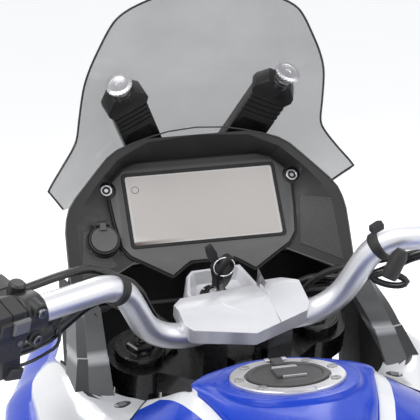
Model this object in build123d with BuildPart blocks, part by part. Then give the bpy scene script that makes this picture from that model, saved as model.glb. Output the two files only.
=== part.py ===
"""Cockpit of an adventure motorcycle, from the fuel tank to the windscreen.

The origin is the centre of the open rear end of the backbone tube. +Y points
forward, +X to the rider's right and +Z up. All sizes are in millimetres.
"""
import os
from math import asin, cos, degrees, radians, sin, sqrt

from build123d import *

os.makedirs("parts", exist_ok=True)

# Clearances
seat_gap = 0.3
panel_gap = 1.5
fit_gap = 0.15

# Backbone tube and steering head
backbone_r = 30.0
backbone_wall = 3.0
backbone_length = 590.0
head_r = 33.0
head_bore_r = 24.0
head_top = -38.0
head_length = 160.0
bearing_length = 14.0
stem_r = 15.0
downtube_r = 21.0
downtube_wall = 2.5
downtube_y = 596.0
downtube_length = 200.0
downtube_bore = 140.0
downtube_lean = 17.5
gusset_x = 17.0
gusset_t = 6.0
cross_y = 478.0
cross_z = -12.0
cross_r = 9.0
cross_reach = 249.3
tank_pad = (50.0, 36.0, 6.0)
tank_pad_places = (150.0, 380.0)

# Steering axis: the upper face of the top yoke, on the axis
yoke_y = 554.5
yoke_z = 107.2
rake = 27.5
steer_rest = 6.2

# Yokes and fork
fork_spread = 105.0
fork_lead = 36.0
fork_r = 28.0
fork_bore_r = 23.0
fork_top = 4.0
fork_bottom = -330.0
fork_cap_r = 29.0
fork_cap_t = 7.0
yoke_clamp_r = 38.0
top_yoke_t = 30.0
lower_yoke_top = -204.0
lower_yoke_t = 38.0

# Handlebar
bar_r = 14.3
bar_v = -8.0
bar_w = 56.0
bar_bend_u = 105.0
bar_shoulder = (148.0, -14.5, 154.0)
bar_direction = (0.895, -0.396, 0.206)
bar_bend_r = 60.0
bar_reach = 298.0
bar_end_r = 15.5
bar_end_length = 20.0
riser_u = 38.0
riser_width = 28.0
riser_r = 18.0
grip_r = 17.0
grip_start = 174.0
grip_length = 122.0
perch_at = 110.0
perch_width = 26.0
perch_r = 22.0
switch_at = 146.0
switch_width = 44.0
strap_at = 34.0
strap_width = 12.0
lever_drop = -6.0
lever_t = 8.0
lever_reach = 168.0
lever_outline = [(-14, 42), (8, 42), (34, 48), (90, 38), (166, 40), (168, 52), (90, 54), (36, 64), (0, 66),
                 (-14, 60)]

# Clamp cover and ignition surround
cover_bottom = 62.0
cover_shoulder = 72.0
cover_top = 86.0
cover_wall = 5.0
surround_bottom = 0.0
surround_top = 45.0
surround_sink = 13.0
lock_place = (-7.0, 70.0)
lock_r = 9.0
lock_face = 38.0

# Dash: the rim plane and the display plane
rim_y = 692.0
rim_z = 260.0
rim_tilt = 22.0
cowl_depth = 50.0
cowl_taper = 6.0
cowl_floor = 4.0
dial_y = 704.0
dial_z = 255.0
dial_tilt = 33.0
bezel_t = 5.0
display_size = (188.0, 96.0)
display_border = 5.0
unit_depth = 26.0
glass_t = 1.5
ear_place = (114.0, 29.0)
ear_r = 8.5
socket_place = (-126.0, -36.0)
socket_r = 18.0
cap_r = 15.5

# Windscreen
screen_y = 821.0
screen_z = 280.0
screen_lean = 36.87
screen_bow = 235.0
screen_t = 4.0
arm_lean = 18.0
arm_x = 72.0
arm_back = 12.0
arm_t = 20.0
arm_tube_r = 8.0
arm_tube_reach = 80.0
stay_width = 40.0
arm_tube_y = 768.0
arm_tube_z = 288.0

# Tank and filler
filler_y = 330.0
filler_z = 150.0
ring_r = 59.0
ring_bore_r = 43.5
ring_t = 4.0
lid_r = 42.5
neck_r = 36.0
neck_wall = 2.0
neck_depth = 40.0
plug_r = 30.0

# Reference planes
head_axis = Plane(origin=(0, yoke_y, yoke_z), x_dir=(1, 0, 0),
                  z_dir=(0, -sin(radians(rake)), cos(radians(rake))))
steer = Plane(head_axis.location * Location((0, 0, 0), (0, 0, steer_rest)))
rim_plane = Plane(origin=(0, rim_y, rim_z), x_dir=(1, 0, 0),
                  z_dir=(0, -cos(radians(rim_tilt)), sin(radians(rim_tilt))))
dial_plane = Plane(origin=(0, dial_y, dial_z), x_dir=(1, 0, 0),
                   z_dir=(0, -cos(radians(dial_tilt)), sin(radians(dial_tilt))))
screen_plane = Plane(origin=(0, screen_y, screen_z), x_dir=(1, 0, 0),
                     z_dir=(0, -cos(radians(screen_lean)), -sin(radians(screen_lean))))
downtube = Plane(origin=(0, downtube_y, -12), x_dir=(1, 0, 0),
                 z_dir=(0, -sin(radians(downtube_lean)), -cos(radians(downtube_lean))))
forward = Plane(origin=(0, 0, 0), x_dir=(1, 0, 0), z_dir=(0, 1, 0))


def on(plane, x=0.0, y=0.0, z=0.0, turn=(0, 0, 0)):
    """A plane placed and turned within another plane's own axes."""
    return Plane(plane.location * Location((x, y, z), turn))


def both(points):
    """A right half outline, top first, closed with its mirror image."""
    mirrored = [(-x, y) for x, y in reversed(points) if x > 0]
    return list(points) + mirrored


def inset(points, amount):
    """A closed clockwise outline moved inwards, corner for corner."""
    moved = []
    for index, (x, y) in enumerate(points):
        before = Vector(x, y) - Vector(*points[index - 1])
        after = Vector(*points[(index + 1) % len(points)]) - Vector(x, y)
        first = Vector(before.Y, -before.X).normalized()
        second = Vector(after.Y, -after.X).normalized()
        inward = (first + second).normalized()
        reach = amount / inward.dot(first)
        moved.append((x + inward.X * reach, y + inward.Y * reach))
    return moved


def across(plane, x=0.0, y=0.0, z=0.0):
    """A plane that looks along the parent's x axis: its x is the parent's y, its y the parent's z."""
    return Plane(origin=plane.from_local_coords(Vector(x, y, z)), x_dir=plane.y_dir, z_dir=plane.x_dir)


def facing(plane, x=0.0, y=0.0, z=0.0):
    """A plane that looks back along the parent's y axis, upright on its z axis."""
    return Plane(origin=plane.from_local_coords(Vector(x, y, z)), x_dir=plane.x_dir, z_dir=plane.y_dir * -1)


def steer_point(u, v, w):
    """A point of the turned steering, right, forward and up its axis."""
    return steer.from_local_coords(Vector(u, v, w))


# Frame spine: backbone, steering head, gussets, down tube and tank pads
with BuildPart() as frame_spine:
    with BuildSketch(forward):
        Circle(backbone_r)
    extrude(amount=backbone_length)
    with BuildSketch(head_axis.offset(head_top)):
        Circle(head_r)
    extrude(amount=-head_length)
    # Boss for the fairing stay on the front of the head
    with BuildSketch(on(head_axis, 0, 0, -102)):
        with Locations((0, 26)):
            Rectangle(44, 36)
    extrude(amount=38)
    # Down tube, leaving the head behind the lower yoke
    with BuildSketch(downtube):
        Circle(downtube_r)
    extrude(amount=downtube_length)
    # Gusset plates between backbone and down tube
    for x in (-gusset_x - gusset_t, gusset_x):
        with BuildSketch(Plane.YZ.offset(x)):
            with BuildLine():
                Polyline((430, -14), (590, -14), (572, -110), (545, -95), close=True)
            make_face()
        extrude(amount=gusset_t)
    # Cross tube that carries the shrouds
    with BuildSketch(Plane.YZ.offset(-cross_reach)):
        with Locations((cross_y, cross_z)):
            Circle(cross_r)
    extrude(amount=2 * cross_reach)
    for y in tank_pad_places:
        with BuildSketch(Plane(origin=(0, y, backbone_r - 4))):
            Rectangle(tank_pad[0], tank_pad[1])
        extrude(amount=tank_pad[2] + 4)
    with BuildSketch(forward):
        Circle(backbone_r - backbone_wall)
    extrude(amount=backbone_length - 34, mode=Mode.SUBTRACT)
    with BuildSketch(downtube.offset(downtube_length)):
        Circle(downtube_r - downtube_wall)
    extrude(amount=-downtube_bore, mode=Mode.SUBTRACT)
    with BuildSketch(head_axis.offset(head_top + 1)):
        Circle(head_bore_r)
    extrude(amount=-head_length - 2, mode=Mode.SUBTRACT)
    for w in (head_top, head_top - head_length + bearing_length):
        with BuildSketch(head_axis.offset(w)):
            Circle(head_bore_r + 0.5)
            Circle(stem_r + seat_gap, mode=Mode.SUBTRACT)
        extrude(amount=-bearing_length)
frame_spine.part.label = "frame_spine"
export_step(frame_spine.part, "parts/frame_spine.step")

# Fairing stay: a cast arm that passes between the fork legs to the dash
plate_at = -(bezel_t + unit_depth)
with BuildPart() as fairing_stay:
    with BuildSketch(across(head_axis, -stay_width / 2)):
        with BuildLine():
            Polyline((44, -102), (44, -64), (158, -64), (190, 10), (205, 60), (258, 68), (276, 68), (280, 54),
                     (240, 20), (222, -62), (172, -102), close=True)
        make_face()
    extrude(amount=stay_width)
    with BuildSketch(Plane.YZ.offset(-arm_tube_reach)):
        with Locations((arm_tube_y, arm_tube_z)):
            Circle(arm_tube_r)
    extrude(amount=2 * arm_tube_reach)
    # Face that the display unit sits on, and the room above it
    with BuildSketch(on(dial_plane, 0, 0, plate_at)):
        Rectangle(300, display_size[1] + 60)
    extrude(amount=120, mode=Mode.SUBTRACT)
    with BuildSketch(dial_plane.offset(plate_at)):
        Rectangle(150, 60)
    extrude(amount=-6)
fairing_stay.part.label = "fairing_stay"
export_step(fairing_stay.part, "parts/fairing_stay.step")

# Outlines of the dash, right half, top centre first
rim_outer = [(0, 93), (34, 90.5), (58, 85.5), (80, 79.5), (99, 72.5), (112, 64), (127, 48.5),
             (141, 33.5), (155, 18.5), (164, 6), (168.5, -7), (171, -22), (171.5, -46), (172, -104)]
rim_inner = [(0, 83), (62, 78.5), (98, 61), (124, 36), (146, 10), (157, -14), (158, -112)]
bezel_outer = [(0, 61.5), (75, 61.5), (91, 56), (107.5, 40), (112.5, 21), (110.5, -10), (105, -120)]
cavity_outline = [(0, 80), (58, 72.5), (95, 58), (121, 33), (142, 6), (153, -18), (154, -60), (154, -160),
                  (0, -160)]
cowl_foot = [(158, -99), (90, -63), (76, -69), (50, -86), (31, -71), (0, -70)]
plate_outline = [(0, 61), (74.5, 61), (90.5, 55.5), (107, 39.5), (112, 21), (110, -10), (106, -44),
                 (97, -57), (76, -69), (50, -86), (33, -73.5), (26, -69.5), (0, -69.5)]

# Dash cowl: the arch-shaped hood with its sloping pocket
with BuildPart() as cowl_cavity:
    with BuildSketch(rim_plane.offset(-cowl_depth - 5)):
        with BuildLine():
            Polyline(*both(cavity_outline), close=True)
        make_face()
    extrude(amount=cowl_depth + 20)
    split(bisect_by=dial_plane.offset(-bezel_t - cowl_floor), keep=Keep.BOTTOM)

with BuildPart() as dash_cowl:
    with BuildSketch(rim_plane):
        with BuildLine():
            Polyline(*both(rim_outer + cowl_foot), close=True)
        make_face()
    with BuildSketch(rim_plane.offset(-cowl_depth)):
        with BuildLine():
            Polyline(*inset(both(rim_outer + cowl_foot), cowl_taper), close=True)
        make_face()
    loft(ruled=True)
    # Pocket between the rim and the bezel
    with BuildSketch(rim_plane.offset(0.2)):
        with BuildLine():
            Polyline(*both(rim_inner), close=True)
        make_face()
    with BuildSketch(dial_plane.offset(-bezel_t)):
        with BuildLine():
            Polyline(*both(bezel_outer), close=True)
        make_face()
    loft(ruled=True, mode=Mode.SUBTRACT)
    add(cowl_cavity.part, mode=Mode.SUBTRACT)
    # Space for the display unit and the screw ears
    with BuildSketch(dial_plane.offset(-bezel_t + 0.1)):
        RectangleRounded(display_size[0] + 2 * display_border + 2 * seat_gap,
                         display_size[1] + 2 * display_border + 2 * seat_gap, 8)
    extrude(amount=-cowl_depth - 40, mode=Mode.SUBTRACT)
    with BuildSketch(dial_plane.offset(-bezel_t)):
        with Locations((ear_place[0], ear_place[1]), (-ear_place[0], ear_place[1])):
            Circle(ear_r + 0.8)
    extrude(amount=40, mode=Mode.SUBTRACT)
    # Round seat of the socket in the left panel
    with BuildSketch(on(dial_plane, socket_place[0], socket_place[1], -60)):
        Circle(socket_r + seat_gap)
    extrude(amount=90, mode=Mode.SUBTRACT)
    # Front edge trimmed along the windscreen
    with BuildSketch(screen_plane.offset(arm_back + arm_t + 12)):
        Rectangle(600, 600)
    extrude(amount=-200, mode=Mode.SUBTRACT)
dash_cowl.part.label = "dash_cowl"
export_step(dash_cowl.part, "parts/dash_cowl.step")

# Display bezel: a flat plate with the window and two screw ears
with BuildPart() as display_bezel:
    with BuildSketch(dial_plane.offset(-bezel_t)):
        with BuildLine():
            Polyline(*both(plate_outline), close=True)
        make_face()
        with Locations((ear_place[0], ear_place[1]), (-ear_place[0], ear_place[1])):
            Circle(ear_r)
        RectangleRounded(display_size[0] + 2 * seat_gap, display_size[1] + 2 * seat_gap, 5, mode=Mode.SUBTRACT)
    extrude(amount=bezel_t)
    with BuildSketch(dial_plane):
        with Locations((ear_place[0], ear_place[1]), (-ear_place[0], ear_place[1])):
            Circle(ear_r - 2)
    extrude(amount=-2, mode=Mode.SUBTRACT)
display_bezel.part.label = "display_bezel"
export_step(display_bezel.part, "parts/display_bezel.step")

# Display unit behind the bezel, and its glass
with BuildPart() as display_unit:
    with BuildSketch(dial_plane.offset(-bezel_t)):
        RectangleRounded(display_size[0] + 2 * display_border, display_size[1] + 2 * display_border, 8)
    extrude(amount=-unit_depth)
    with BuildSketch(dial_plane.offset(-bezel_t)):
        RectangleRounded(display_size[0], display_size[1], 5)
    extrude(amount=2)
display_unit.part.label = "display_unit"
export_step(display_unit.part, "parts/display_unit.step")

with BuildPart() as display_glass:
    with BuildSketch(dial_plane.offset(-bezel_t + 2)):
        RectangleRounded(display_size[0], display_size[1], 5)
    extrude(amount=glass_t)
display_glass.part.label = "display_glass"
export_step(display_glass.part, "parts/display_glass.step")

# Power socket in the left panel, with a hinged cap
socket_plane = on(dial_plane, socket_place[0], socket_place[1], 0)
socket_face = 9.0
with BuildPart() as socket_body:
    with BuildSketch(socket_plane.offset(socket_face)):
        Circle(socket_r)
    extrude(amount=-35)
    with BuildSketch(socket_plane.offset(socket_face)):
        Circle(cap_r + 0.8)
    extrude(amount=-3, mode=Mode.SUBTRACT)
    with BuildSketch(socket_plane.offset(socket_face - 3)):
        Circle(11)
    extrude(amount=-18, mode=Mode.SUBTRACT)
    with BuildSketch(on(socket_plane, 0, 0, socket_face)):
        with Locations((-6, socket_r + 1), (6, socket_r + 1)):
            Rectangle(4, 5)
    extrude(amount=4)
socket_body.part.label = "socket_body"
export_step(socket_body.part, "parts/socket_body.step")

with BuildPart() as socket_cap:
    with BuildSketch(socket_plane.offset(socket_face - 3 + seat_gap)):
        Circle(cap_r)
    extrude(amount=4)
    with BuildSketch(on(socket_plane, 0, 0, socket_face + seat_gap)):
        with Locations((0, socket_r - 3)):
            Rectangle(7.4, 9)
    extrude(amount=3.4)
socket_cap.part.label = "socket_cap"
export_step(socket_cap.part, "parts/socket_cap.step")

# Windscreen: a bowed sheet cut to its outline
screen_outline = [(0, 300), (54, 295), (88, 289), (104, 282), (113, 271), (122, 254), (134, 228),
                  (141, 205), (144, 180), (146, 150), (148, 122), (155, 108), (170, 93), (184, 82),
                  (183, 74), (163, 20), (140, 4), (60, -4), (0, -6)]
with BuildPart() as windscreen:
    with BuildSketch(on(screen_plane, 0, -30, screen_bow, (-90, 0, 0))):
        Circle(screen_bow)
        Circle(screen_bow - screen_t, mode=Mode.SUBTRACT)
    extrude(amount=360)
    with BuildSketch(screen_plane.offset(-1)):
        with BuildLine():
            Polyline(*both(screen_outline), close=True)
        make_face()
    extrude(amount=120, mode=Mode.INTERSECT)
windscreen.part.label = "windscreen"
export_step(windscreen.part, "parts/windscreen.step")

# Screen arms with their pull knobs
arm_drop = screen_bow - sqrt(screen_bow ** 2 - arm_x ** 2)
arm_turn = degrees(asin(arm_x / screen_bow))
knob_lift = arm_t


def arm_frame(side):
    """The plane of a screen arm: on the screen's inner face, y up along the arm."""
    foot = on(screen_plane, side * arm_x, 70, arm_drop + screen_t, (0, -side * arm_turn, 0))
    return on(foot, 0, 0, 0, (0, 0, -side * arm_lean))


for side, name in ((-1, "left"), (1, "right")):
    arm_plane = arm_frame(side)
    with BuildPart() as screen_arm:
        with BuildSketch(arm_plane):
            with BuildLine():
                Polyline((-26, -52), (26, -52), (25, 48), (14, 62), (-14, 62), (-25, 48), close=True)
            make_face()
        extrude(amount=arm_t)
        with BuildSketch(on(arm_plane, 0, 60, knob_lift - 4, (-90, 0, 0))):
            Circle(7.5)
        extrude(amount=14)
        # Back bowed like the screen, foot saddled on the cross tube
        with BuildSketch(on(screen_plane, 0, -60, screen_bow, (-90, 0, 0))):
            Circle(screen_bow + 60)
            Circle(screen_bow - screen_t - seat_gap, mode=Mode.SUBTRACT)
        extrude(amount=360, mode=Mode.SUBTRACT)
        with BuildSketch(Plane.YZ.offset(-180)):
            with Locations((arm_tube_y, arm_tube_z)):
                Circle(arm_tube_r + seat_gap)
        extrude(amount=360, mode=Mode.SUBTRACT)
    screen_arm.part.label = f"screen_arm_{name}"
    export_step(screen_arm.part, f"parts/screen_arm_{name}.step")
    with BuildPart() as screen_knob:
        with BuildSketch(on(arm_plane, 0, 74 + fit_gap, knob_lift - 4)):
            with BuildLine():
                Polyline((0, 0), (6, 0), (6, 7), (13, 20), (13, 23), (0, 23), close=True)
            make_face()
        revolve(axis=Axis(on(arm_plane, 0, 74, knob_lift - 4).origin, arm_plane.y_dir))
    screen_knob.part.label = f"screen_knob_{name}"
    export_step(screen_knob.part, f"parts/screen_knob_{name}.step")

# Nose cowl: a shell from the dash forward to the lamps. The first section lies on the back of
# the dash cowl, in its own plane; the others are upright, columns y, then x and z of half a profile
nose_root = [(0, 85), (60, 76), (94, 62), (122, 38), (148, 8), (160, -20), (163, -108)]
nose_table = [
    (806, (0, 276), (42, 272), (72, 262), (100, 246), (126, 222), (138, 196), (134, 112)),
    (862, (0, 244), (30, 241), (54, 234), (78, 220), (96, 200), (104, 178), (96, 118)),
    (918, (0, 206), (14, 205), (28, 201), (42, 192), (52, 180), (58, 166), (50, 134)),
]
nose_wall = 4.0


def nose_sections(wall):
    """Sections of the nose form, moved inwards by the wall."""
    sections = []
    with BuildSketch(rim_plane.offset(-cowl_depth)) as section:
        with BuildLine():
            Polyline(*inset(both(nose_root), wall), close=True)
        make_face()
    sections.append(section.sketch)
    for y, *half in nose_table:
        with BuildSketch(Plane.XZ.offset(-y)) as section:
            with BuildLine():
                Polyline(*inset(both(half), wall), close=True)
            make_face()
        sections.append(section.sketch)
    return sections


lamp_outline = [(12, 152), (12, 186), (48, 208), (84, 200), (92, 172), (66, 148)]
with BuildPart() as nose_inside:
    loft(nose_sections(nose_wall))
    split(bisect_by=Plane.XZ.offset(-908), keep=Keep.TOP)
    with BuildSketch(Plane(origin=(0, 780, 100))):
        Rectangle(240, 160)
    extrude(amount=60)
with BuildPart() as lamp_bay:
    for side in (-1, 1):
        with BuildSketch(Plane.XZ.offset(-840)):
            with BuildLine():
                Polyline(*[(side * x, z) for x, z in lamp_outline], close=True)
            make_face()
            offset(amount=seat_gap, kind=Kind.INTERSECTION)
        extrude(amount=-120)

with BuildPart() as nose_cowl:
    loft(nose_sections(0))
    add(nose_inside.part, mode=Mode.SUBTRACT)
    add(lamp_bay.part, mode=Mode.SUBTRACT)
    # Slots for the screen arms
    for side in (-1, 1):
        with BuildSketch(arm_frame(side)):
            Rectangle(55, 140)
        extrude(amount=arm_t + 2, mode=Mode.SUBTRACT)
    # Slot over the fairing stay
    with BuildSketch(across(head_axis, -stay_width / 2 - seat_gap)):
        with Locations((175, -56)):
            Rectangle(120, 112)
    extrude(amount=stay_width + 2 * seat_gap, mode=Mode.SUBTRACT)
nose_cowl.part.label = "nose_cowl"
export_step(nose_cowl.part, "parts/nose_cowl.step")

for side, name in ((-1, "left"), (1, "right")):
    with BuildPart() as headlamp:
        loft(nose_sections(0))
        with BuildSketch(Plane.XZ.offset(-846)):
            with BuildLine():
                Polyline(*[(side * x, z) for x, z in lamp_outline], close=True)
            make_face()
        extrude(amount=-120, mode=Mode.INTERSECT)
    headlamp.part.label = f"headlamp_{name}"
    export_step(headlamp.part, f"parts/headlamp_{name}.step")


def skin_sections(table, side, wall):
    """Sections of a wall, each table row y and then the x, z points of its outer face."""
    sections = []
    for y, *outer in table:
        inner = [(x - wall, z - wall * 0.5) for x, z in reversed(outer)]
        with BuildSketch(Plane.XZ.offset(-y)) as section:
            with BuildLine():
                Polyline(*[(side * x, z) for x, z in outer + inner], close=True)
            make_face()
        sections.append(section.sketch)
    return sections


# Side panels of the cockpit, each a table of half profiles by y
pillar_table = [
    (492, (156, 105), (193, 101), (203, 82)),
    (546, (154, 146), (183, 143), (197, 104)),
    (599, (154, 172), (175, 168), (190, 128)),
    (642, (154, 196), (170, 190), (180, 152)),
]
cowl_table = [
    (398, (138, 106), (176, 100), (216, 78), (230, 54)),
    (450, (124, 98), (168, 94), (222, 76), (235, 54)),
    (488, (126, 98), (176, 94), (226, 74), (238, 54)),
]
flank_table = [
    (488.6, (204, 80), (216, 78), (226, 74), (238, 54)),
    (546, (200, 101), (212, 92), (230, 74), (236, 54)),
    (600, (194, 124), (208, 108), (229, 78), (233, 54)),
    (650, (184, 148), (200, 128), (220, 84), (223, 54)),
    (700, (177, 176), (186, 152), (200, 100), (200, 66)),
    (740, (171, 200), (176, 160), (178, 112), (174, 80)),
]
shroud_table = [
    (398, (226, 66), (242, 34), (230, -40), (206, -110)),
    (500, (233, 66), (262, 34), (252, -50), (224, -150)),
    (620, (227, 66), (254, 30), (242, -60), (206, -156)),
    (720, (192, 66), (204, 30), (196, -50), (172, -110)),
]
panel_wall = 4.0
seam_z = 60.0
for side, name in ((-1, "left"), (1, "right")):
    with BuildPart() as pillar:
        loft(skin_sections(pillar_table, side, panel_wall))
    pillar.part.label = f"pillar_{name}"
    export_step(pillar.part, f"parts/pillar_{name}.step")
    with BuildPart() as side_cowl:
        loft(skin_sections(cowl_table, side, panel_wall))
        loft(skin_sections(flank_table, side, panel_wall))
        with BuildSketch(Plane.XZ.offset(-488)):
            with BuildLine():
                Polyline(*[(side * x, z) for x, z in ((204, 80), (226, 74), (238, 54), (234, 52), (222, 72),
                                                      (204, 76))], close=True)
            make_face()
        extrude(amount=-1)
        split(bisect_by=Plane.XY.offset(seam_z), keep=Keep.TOP)
    side_cowl.part.label = f"side_cowl_{name}"
    export_step(side_cowl.part, f"parts/side_cowl_{name}.step")
    with BuildPart() as shroud:
        loft(skin_sections(shroud_table, side, panel_wall))
        split(bisect_by=Plane.XY.offset(seam_z), keep=Keep.BOTTOM)
        with BuildSketch(Plane.YZ.offset(side * (cross_reach + seat_gap))):
            with Locations((cross_y, cross_z)):
                Circle(cross_r + seat_gap)
        extrude(amount=-side * 30, mode=Mode.SUBTRACT)
    shroud.part.label = f"shroud_{name}"
    export_step(shroud.part, f"parts/shroud_{name}.step")

# Fuel tank: body and raised spine, columns y, top z, shoulder x, z, widest x, z, foot x
tank_body = [
    (95, 102, 78, 84, 104, 40, 96),
    (180, 119, 100, 98, 150, 40, 128),
    (260, 130, 116, 108, 188, 46, 160),
    (330, 138, 124, 118, 196, 56, 172),
    (396, 132, 122, 112, 176, 60, 156),
    (436, 116, 98, 104, 128, 60, 116),
]
# Columns y, half width, top z, edge z
tank_spine = [
    (100, 56, 118, 101),
    (180, 66, 134, 117),
    (275, 82, 144, 129),
    (325, 94, 147, 137),
    (352, 97, 147, 139),
    (384, 76, 146.5, 140),
    (408, 40, 145, 140),
]
tank_floor = -96.0
tunnel_top = backbone_r + tank_pad[2]
tunnel_r = 46.0
land_r = 71.0
with BuildPart() as fuel_tank:
    for y, top, shoulder_x, shoulder_z, wide_x, wide_z, foot_x in tank_body:
        with BuildSketch(Plane.XZ.offset(-y)):
            with BuildLine():
                ThreePointArc((-shoulder_x, shoulder_z), (0, top), (shoulder_x, shoulder_z))
                Polyline((shoulder_x, shoulder_z), (wide_x, wide_z), (foot_x, tank_floor),
                         (-foot_x, tank_floor), (-wide_x, wide_z), (-shoulder_x, shoulder_z))
            make_face()
    loft()
    for y, half_width, top, edge in tank_spine:
        with BuildSketch(Plane.XZ.offset(-y)):
            with BuildLine():
                ThreePointArc((-half_width, edge), (0, top), (half_width, edge))
                Polyline((half_width, edge), (half_width, 60), (-half_width, 60), (-half_width, edge))
            make_face()
    loft()
    # Tunnel over the backbone, the flat land and the filler neck
    with BuildSketch(Plane.XZ.offset(-80)):
        with Locations((0, (tunnel_top + tank_floor) / 2 - 5)):
            Rectangle(2 * tunnel_r, tunnel_top - tank_floor + 10)
    extrude(amount=-400, mode=Mode.SUBTRACT)
    with BuildSketch(Plane(origin=(0, filler_y, filler_z - ring_t))):
        Circle(land_r)
    extrude(amount=20, mode=Mode.SUBTRACT)
    with BuildSketch(Plane(origin=(0, filler_y, filler_z - ring_t))):
        Circle(neck_r + neck_wall + seat_gap)
    extrude(amount=-neck_depth - 4, mode=Mode.SUBTRACT)
fuel_tank.part.label = "fuel_tank"
export_step(fuel_tank.part, "parts/fuel_tank.step")

# Filler ring with its neck, and the hinged lid
hinge_y = filler_y + 49.0
hinge_z = filler_z + 5.0
filler_plane = Plane(origin=(0, filler_y, filler_z))
with BuildPart() as filler_ring:
    with BuildSketch(filler_plane.offset(-ring_t)):
        Circle(ring_r)
        Circle(ring_bore_r, mode=Mode.SUBTRACT)
    extrude(amount=ring_t)
    chamfer(filler_ring.edges().filter_by(GeomType.CIRCLE).group_by(Axis.Z)[-1], 0.8)
    with BuildSketch(filler_plane.offset(-ring_t)):
        Circle(ring_r - 6)
        Circle(neck_r, mode=Mode.SUBTRACT)
    extrude(amount=1)
    with BuildSketch(filler_plane.offset(-ring_t)):
        Circle(neck_r + neck_wall)
        Circle(neck_r, mode=Mode.SUBTRACT)
    extrude(amount=-neck_depth)
    with BuildSketch(Plane(origin=(0, hinge_y, filler_z))):
        with Locations((-9, 0), (9, 0)):
            Rectangle(5, 7)
    extrude(amount=7)
filler_ring.part.label = "filler_ring"
export_step(filler_ring.part, "parts/filler_ring.step")

with BuildPart() as filler_lid:
    with BuildSketch(filler_plane.offset(-ring_t + 1 + seat_gap)):
        Circle(lid_r)
    extrude(amount=ring_t + 0.5)
    with BuildSketch(filler_plane.offset(-ring_t - 12)):
        Circle(plug_r)
    extrude(amount=14)
    with BuildSketch(filler_plane.offset(2)):
        with Locations((0, (hinge_y - filler_y) / 2 + 19)):
            Rectangle(12, hinge_y - filler_y - 32)
    extrude(amount=5)
    with BuildSketch(filler_plane.offset(1)):
        with Locations((0, 35)):
            Rectangle(12, 8)
    extrude(amount=6)
    with BuildSketch(filler_plane.offset(1)):
        with Locations((0, 6)):
            RectangleRounded(30, 34, 4)
    extrude(amount=4)
filler_lid.part.label = "filler_lid"
export_step(filler_lid.part, "parts/filler_lid.step")

# Top yoke with its fork clamps
with BuildPart() as top_yoke:
    with BuildSketch(steer.offset(-top_yoke_t)):
        with BuildLine():
            FilletPolyline((-fork_spread, fork_lead - 30), (-58, -24), (58, -24), (fork_spread, fork_lead - 30),
                           (fork_spread, fork_lead + 30), (54, 70), (32, 50), (-32, 50), (-54, 70),
                           (-fork_spread, fork_lead + 30), radius=8, close=True)
        make_face()
        with Locations((-fork_spread, fork_lead), (fork_spread, fork_lead)):
            Circle(yoke_clamp_r)
        with Locations((-fork_spread, fork_lead), (fork_spread, fork_lead)):
            Circle(fork_r + fit_gap, mode=Mode.SUBTRACT)
        Circle(stem_r + fit_gap, mode=Mode.SUBTRACT)
    extrude(amount=top_yoke_t)
    # Stem nut
    with BuildSketch(steer):
        RegularPolygon(20, 6)
    extrude(amount=10)
top_yoke.part.label = "top_yoke"
export_step(top_yoke.part, "parts/top_yoke.step")

# Lower yoke with the pressed-in stem
with BuildPart() as lower_yoke:
    with BuildSketch(steer.offset(lower_yoke_top - lower_yoke_t)):
        with BuildLine():
            FilletPolyline((-fork_spread, fork_lead - 30), (-40, -26), (40, -26), (fork_spread, fork_lead - 30),
                           (fork_spread, fork_lead + 30), (60, 44), (-60, 44), (-fork_spread, fork_lead + 30),
                           radius=8, close=True)
        make_face()
        with Locations((-fork_spread, fork_lead), (fork_spread, fork_lead)):
            Circle(yoke_clamp_r)
        with Locations((-fork_spread, fork_lead), (fork_spread, fork_lead)):
            Circle(fork_r + fit_gap, mode=Mode.SUBTRACT)
    extrude(amount=lower_yoke_t)
    with BuildSketch(steer.offset(lower_yoke_top - lower_yoke_t)):
        Circle(stem_r)
    extrude(amount=-lower_yoke_top + lower_yoke_t)
lower_yoke.part.label = "lower_yoke"
export_step(lower_yoke.part, "parts/lower_yoke.step")

# Fork legs: outer tubes with their caps, open below for the stanchions
for side, name in ((-1, "left"), (1, "right")):
    leg = on(steer, side * fork_spread, fork_lead, 0)
    with BuildPart() as fork_leg:
        with BuildSketch(leg.offset(fork_bottom)):
            Circle(fork_r)
        extrude(amount=fork_top - fork_bottom)
        with BuildSketch(leg.offset(fork_bottom)):
            Circle(fork_bore_r)
        extrude(amount=fork_top - fork_bottom - 60, mode=Mode.SUBTRACT)
        with BuildSketch(leg.offset(fork_top)):
            Circle(fork_cap_r)
        extrude(amount=fork_cap_t)
        with BuildSketch(leg.offset(fork_top + fork_cap_t)):
            Circle(20)
            RegularPolygon(15, 6, mode=Mode.SUBTRACT)
        extrude(amount=-3, mode=Mode.SUBTRACT)
        with BuildSketch(leg.offset(fork_bottom)):
            Circle(fork_r + 3)
            Circle(fork_bore_r, mode=Mode.SUBTRACT)
        extrude(amount=24)
    fork_leg.part.label = f"fork_leg_{name}"
    export_step(fork_leg.part, f"parts/fork_leg_{name}.step")


def bar_point(side, along):
    """A point on the outer run of the handlebar, from its shoulder outwards."""
    u, v, w = bar_shoulder
    du, dv, dw = bar_direction
    return side * (u + along * du), v + along * dv, w + along * dw


def bar_plane(side, along):
    """A plane across the bar, its normal outwards and its x direction up."""
    origin = steer_point(*bar_point(side, along))
    ahead = steer_point(*bar_point(side, along + 1))
    outward = (ahead - origin).normalized()
    upward = steer.z_dir - outward * steer.z_dir.dot(outward)
    return Plane(origin=origin, x_dir=upward.normalized(), z_dir=outward)


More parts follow.
